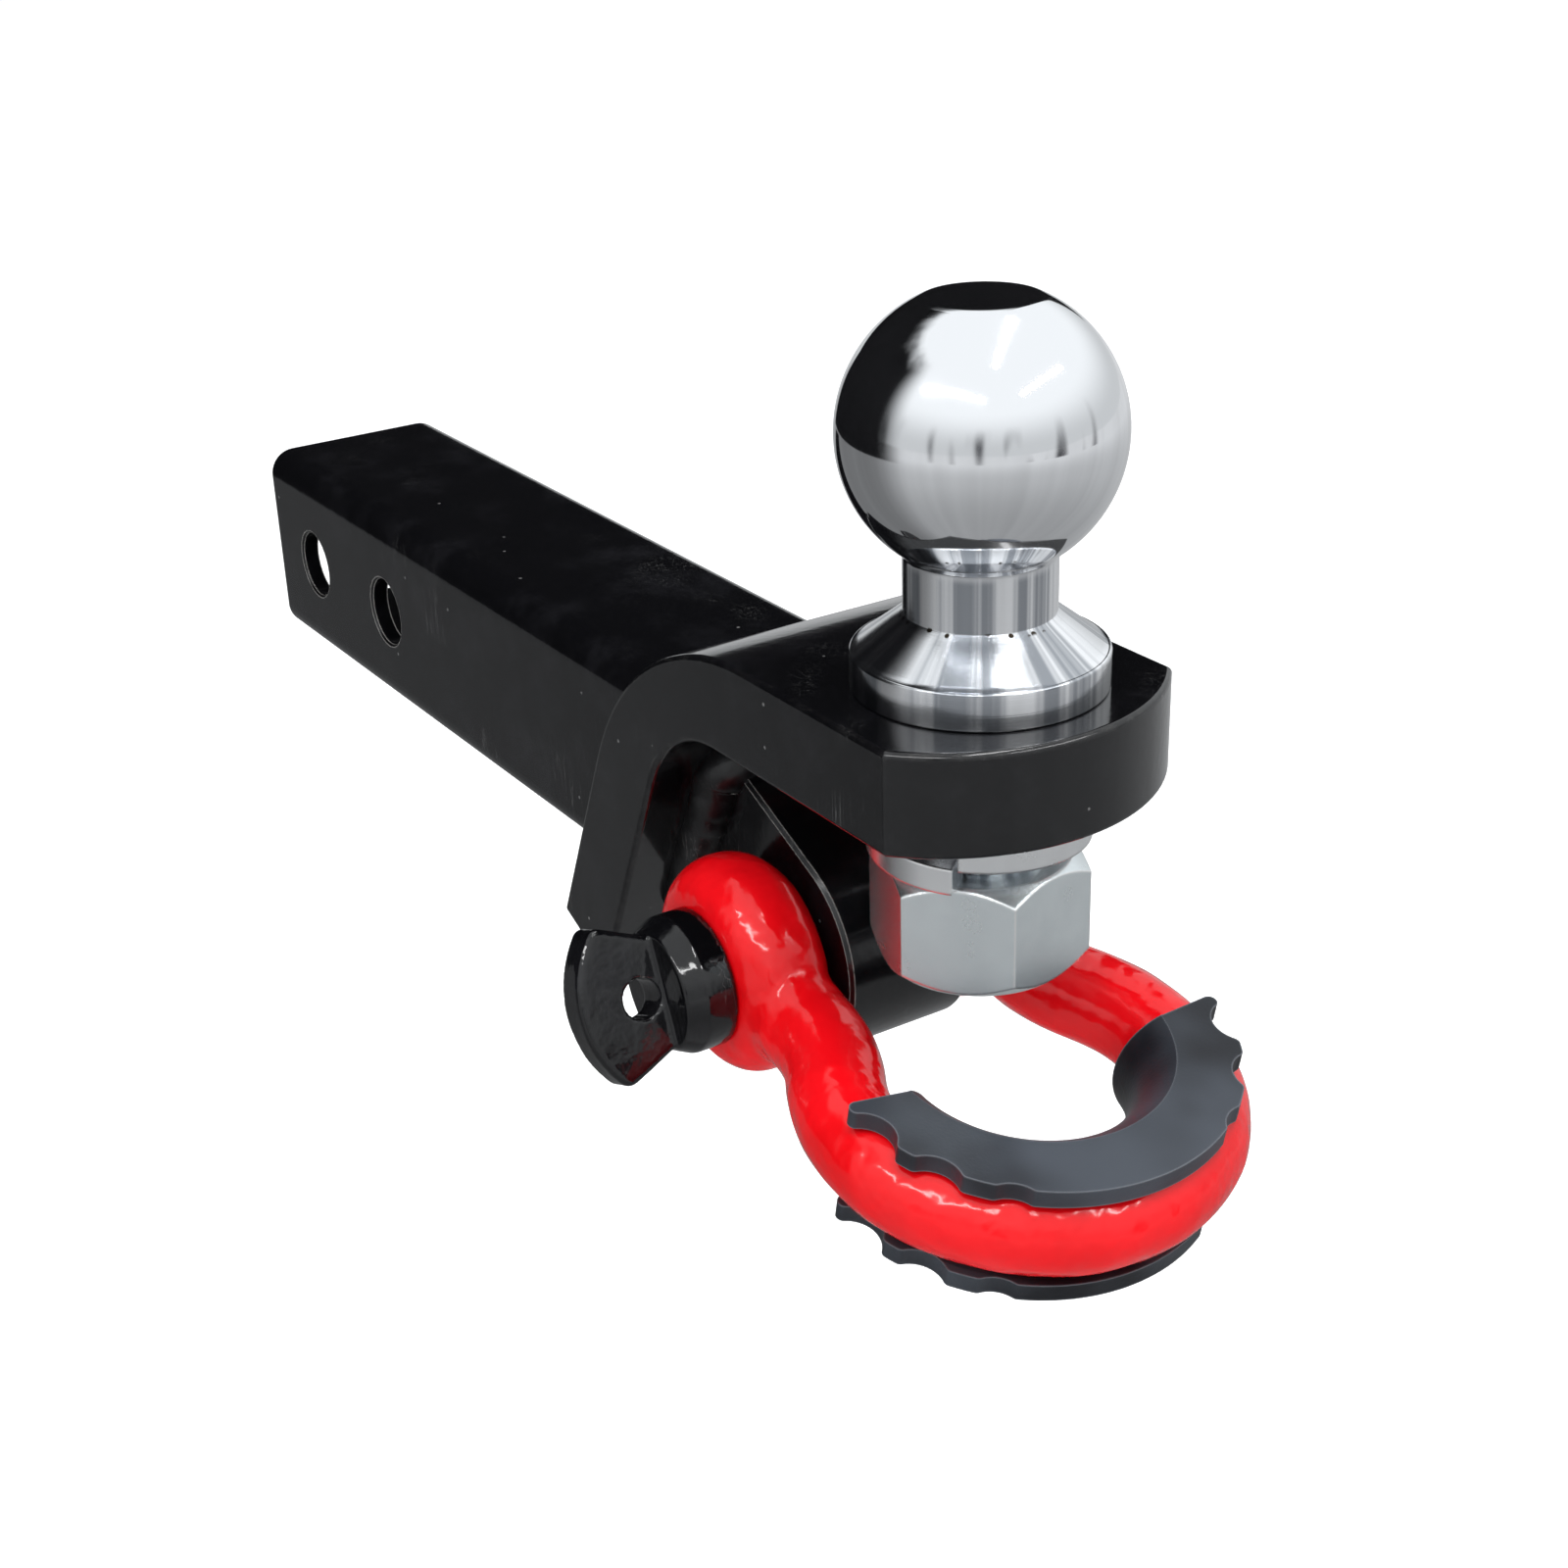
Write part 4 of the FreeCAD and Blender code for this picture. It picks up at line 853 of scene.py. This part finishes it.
def emptyFinish(name):
    finish = bpy.data.materials.new(name)
    finish.use_nodes = True
    tree = finish.node_tree
    tree.nodes.clear()
    return finish, tree, tree.nodes.new("ShaderNodeOutputMaterial").inputs["Surface"]


# White floor, and a grey ground card just above it that only reflections show

floor = {"height": -0.30, "size": 12.0, "grey": 0.80, "glow": 0.57, "cardLift": 0.002}
ground = {
    "colour": (0.96, 0.98, 1.0, 1), "near": 0.33, "middle": 0.46, "far": 0.68,
    "nearEnd": 0.2, "middleStart": 0.9, "middleEnd": 0.7, "farStart": 2.4,
    "dark": 0.17, "darkBearing": math.radians(-152), "darkStart": 0.5, "darkFull": 0.96,
    "rayTurns": 1.6, "rayScale": 2.2, "rayLeast": 0.85, "rayDepth": 0.3,
}


def floorFinish():
    finish, tree, surface = emptyFinish("floorWhite")
    grey = floor["grey"]
    matte = addNode(tree, "ShaderNodeBsdfDiffuse", {"Color": (grey, grey, grey, 1)})
    # what the camera and metal see is lifted to white and keeps the object's shadow
    light = addNode(tree, "ShaderNodeEmission", {"Color": (1, 1, 1, 1), "Strength": floor["glow"]})
    both = addNode(tree, "ShaderNodeAddShader", None, {0: matte.outputs[0], 1: light.outputs[0]})
    path = addNode(tree, "ShaderNodeLightPath")
    seen = calc(tree, "ADD", path.outputs["Is Camera Ray"], path.outputs["Is Glossy Ray"])
    seen = calc(tree, "ADD", seen, path.outputs["Is Transmission Ray"], clamp=True)
    mix = addNode(tree, "ShaderNodeMixShader", None, {0: seen, 1: matte.outputs[0], 2: both.outputs[0]})
    tree.links.new(mix.outputs[0], surface)
    return finish


def groundFinish():
    g = ground
    finish, tree, surface = emptyFinish("groundGrey")
    across, along = fromAxis(tree, hitch["ballAxis"])[:2]
    reach = lengthOf(tree, across, along)
    bearing = calc(tree, "ARCTAN2", along, across)
    grey = blend(tree, ramp(tree, reach, g["nearEnd"], g["middleStart"]), g["near"], g["middle"])
    grey = blend(tree, ramp(tree, reach, g["middleEnd"], g["farStart"]), grey, g["far"])
    turn = calc(tree, "COSINE", calc(tree, "SUBTRACT", bearing, g["darkBearing"]))
    grey = blend(tree, ramp(tree, turn, g["darkStart"], g["darkFull"]), grey, g["dark"])
    roundBall = calc(tree, "MULTIPLY", bearing, g["rayTurns"])
    rays = addNode(tree, "ShaderNodeTexNoise", {"Scale": g["rayScale"], "Detail": 3.0}, {"W": roundBall},
                   noise_dimensions="1D").outputs["Fac"]
    rayShade = calc(tree, "ADD", g["rayLeast"], calc(tree, "MULTIPLY", rays, g["rayDepth"]))
    light = addNode(tree, "ShaderNodeEmission", {"Color": g["colour"]},
                    {"Strength": calc(tree, "MULTIPLY", grey, rayShade)})
    tree.links.new(light.outputs[0], surface)
    return finish


def makeFloor():
    half = floor["size"] / 2
    low = floor["height"]
    card = low + floor["cardLift"]
    square = [(-half, -half), (half, -half), (half, half), (-half, half)]
    stageMesh("floor", [(x, y, low) for x, y in square], [(0, 1, 2, 3)], floorFinish())
    onlyMirrored(stageMesh("groundCard", [(x, y, card) for x, y in square], [(0, 1, 2, 3)], groundFinish()))


makeFloor()


# Curved walls round the hitch: dark ones behind and to its left, soft upright smears in front

walls = {
    "backWall": {"bearings": (126, 205), "radius": 1.7, "low": 0.13, "high": 2.5, "grey": 0.008},
    "leftWall": {"bearings": (168, 262), "radius": 1.6, "low": -0.29, "high": 2.6, "grey": 0.008},
}
wallTop = {"ragged": 0.4, "turns": 3.0, "scale": 1.3, "softFrom": 1.1, "softTo": 0.05, "endFade": 26}
smears = {"bearings": (-125, 75), "radius": 2.3, "low": -0.29, "high": 0.95, "grey": 0.06,
          "turns": 2.4, "rise": 0.25, "scale": 1.5, "thickStart": 0.50, "thickFull": 0.74,
          "fadeStart": 0.1, "fadeEnd": 0.9}
wallSteps = 24
wallBlue = 1.1


def wallFinish(name, grey, mask):
    finish, tree, surface = emptyFinish(name)
    matte = addNode(tree, "ShaderNodeBsdfDiffuse", {"Color": (grey, grey, grey * wallBlue, 1)})
    clear = tree.nodes.new("ShaderNodeBsdfTransparent")
    mix = addNode(tree, "ShaderNodeMixShader", None,
                  {0: mask(tree), 1: clear.outputs[0], 2: matte.outputs[0]})
    tree.links.new(mix.outputs[0], surface)
    return finish


def bearingAndLevel(tree):
    across, along, level = fromAxis(tree, hitch["ballAxis"])
    return calc(tree, "ARCTAN2", along, across), level


def raggedTop(high, last):
    t = wallTop

    def mask(tree):
        bearing, level = bearingAndLevel(tree)
        pair = addNode(tree, "ShaderNodeCombineXYZ", None,
                       {"X": calc(tree, "MULTIPLY", bearing, t["turns"]), "Y": level})
        uneven = calc(tree, "SUBTRACT", cloud(tree, pair.outputs["Vector"], t["scale"], 2.0), 0.5)
        top = calc(tree, "ADD", level, calc(tree, "MULTIPLY", uneven, 2 * t["ragged"]))
        soft = inverse(tree, ramp(tree, top, high - t["softFrom"], high - t["softTo"]))
        turned = calc(tree, "MODULO", calc(tree, "ADD", bearing, 2 * math.pi), 2 * math.pi)
        end = ramp(tree, turned, math.radians(last), math.radians(last - t["endFade"]))
        return calc(tree, "MULTIPLY", soft, end)
    return mask


def uprightSmears(tree):
    s = smears
    bearing, level = bearingAndLevel(tree)
    pair = addNode(tree, "ShaderNodeCombineXYZ", None, {"X": calc(tree, "MULTIPLY", bearing, s["turns"]),
                                                        "Y": calc(tree, "MULTIPLY", level, s["rise"])})
    thick = ramp(tree, cloud(tree, pair.outputs["Vector"], s["scale"], 1.0), s["thickStart"], s["thickFull"])
    return calc(tree, "MULTIPLY", thick, inverse(tree, ramp(tree, level, s["fadeStart"], s["fadeEnd"])))


def stageWall(name, wall, finish):
    first, last = (math.radians(bearing) for bearing in wall["bearings"])
    points = []
    for step in range(wallSteps + 1):
        angle = first + (last - first) * step / wallSteps
        x = hitch["ballAxis"] + wall["radius"] * math.cos(angle)
        y = wall["radius"] * math.sin(angle)
        points += [(x, y, wall["low"]), (x, y, wall["high"])]
    faces = [(2 * step, 2 * step + 2, 2 * step + 3, 2 * step + 1) for step in range(wallSteps)]
    onlyMirrored(stageMesh(name, points, faces, finish))


for name, wall in walls.items():
    topMask = raggedTop(wall["high"], wall["bearings"][1])
    stageWall(name, wall, wallFinish(name + "Grey", wall["grey"], topMask))
stageWall("smearRing", smears, wallFinish("smearGrey", smears["grey"], uprightSmears))


# Lamps: place, target, length, width, power, seen in reflections

lamps = {
    "overhead": ((0.30, -0.30, 1.6), (0.15, 0.0, 0.0), 1.4, 1.4, 15, False),
    "stripLeft": ((0.75, -1.15, 1.25), (0.20, 0.0, 0.0), 1.5, 0.10, 9, True),
    "stripRight": ((1.25, 0.55, 1.15), (0.20, 0.0, 0.0), 1.2, 0.08, 6, True),
    "stripTop": ((0.45, 0.25, 1.5), (0.20, 0.0, 0.0), 1.3, 0.09, 7, True),
    "front": ((1.9, -1.2, 0.7), (0.20, 0.0, 0.0), 0.9, 0.9, 7, False),
}


def makeLamp(name, place, target, length, width, power, mirrored):
    data = bpy.data.lights.new(name, "AREA")
    data.shape = "RECTANGLE"
    data.size = length
    data.size_y = width
    data.energy = power
    lamp = bpy.data.objects.new(name, data)
    lamp.location = place
    lamp.rotation_euler = (Vector(target) - Vector(place)).to_track_quat("-Z", "Y").to_euler()
    lamp.visible_glossy = mirrored
    bpy.context.scene.collection.objects.link(lamp)


for name, values in lamps.items():
    makeLamp(name, *values)


# Sky: white to the camera, paler upwards in reflections, and soft light on the object

sky = {"glow": 0.55, "horizonGlow": 0.62, "riseStart": 0.02, "riseEnd": 0.5,
       "lightColour": (0.95, 0.98, 1.0, 1), "seenColour": (1.0, 1.0, 1.0, 1)}


def makeSky():
    world = bpy.data.worlds.new("studioSky")
    world.use_nodes = True
    tree = world.node_tree
    background = tree.nodes["Background"]
    path = addNode(tree, "ShaderNodeLightPath")
    seen = path.outputs["Is Camera Ray"]
    mirrored = calc(tree, "ADD", path.outputs["Is Glossy Ray"], path.outputs["Is Transmission Ray"],
                    clamp=True)
    height = addNode(tree, "ShaderNodeSeparateXYZ", None,
                     {"Vector": addNode(tree, "ShaderNodeTexCoord").outputs["Generated"]}).outputs["Z"]
    mirroredGlow = blend(tree, ramp(tree, height, sky["riseStart"], sky["riseEnd"]), sky["horizonGlow"], 1.0)
    strength = blend(tree, mirrored, sky["glow"], mirroredGlow)
    tree.links.new(blend(tree, seen, strength, 1.0), background.inputs["Strength"])
    tree.links.new(tint(tree, seen, sky["lightColour"], sky["seenColour"]), background.inputs["Color"])
    bpy.context.scene.world = world


makeSky()
bpy.context.scene.view_settings.view_transform = "Standard"
print("studio ready")
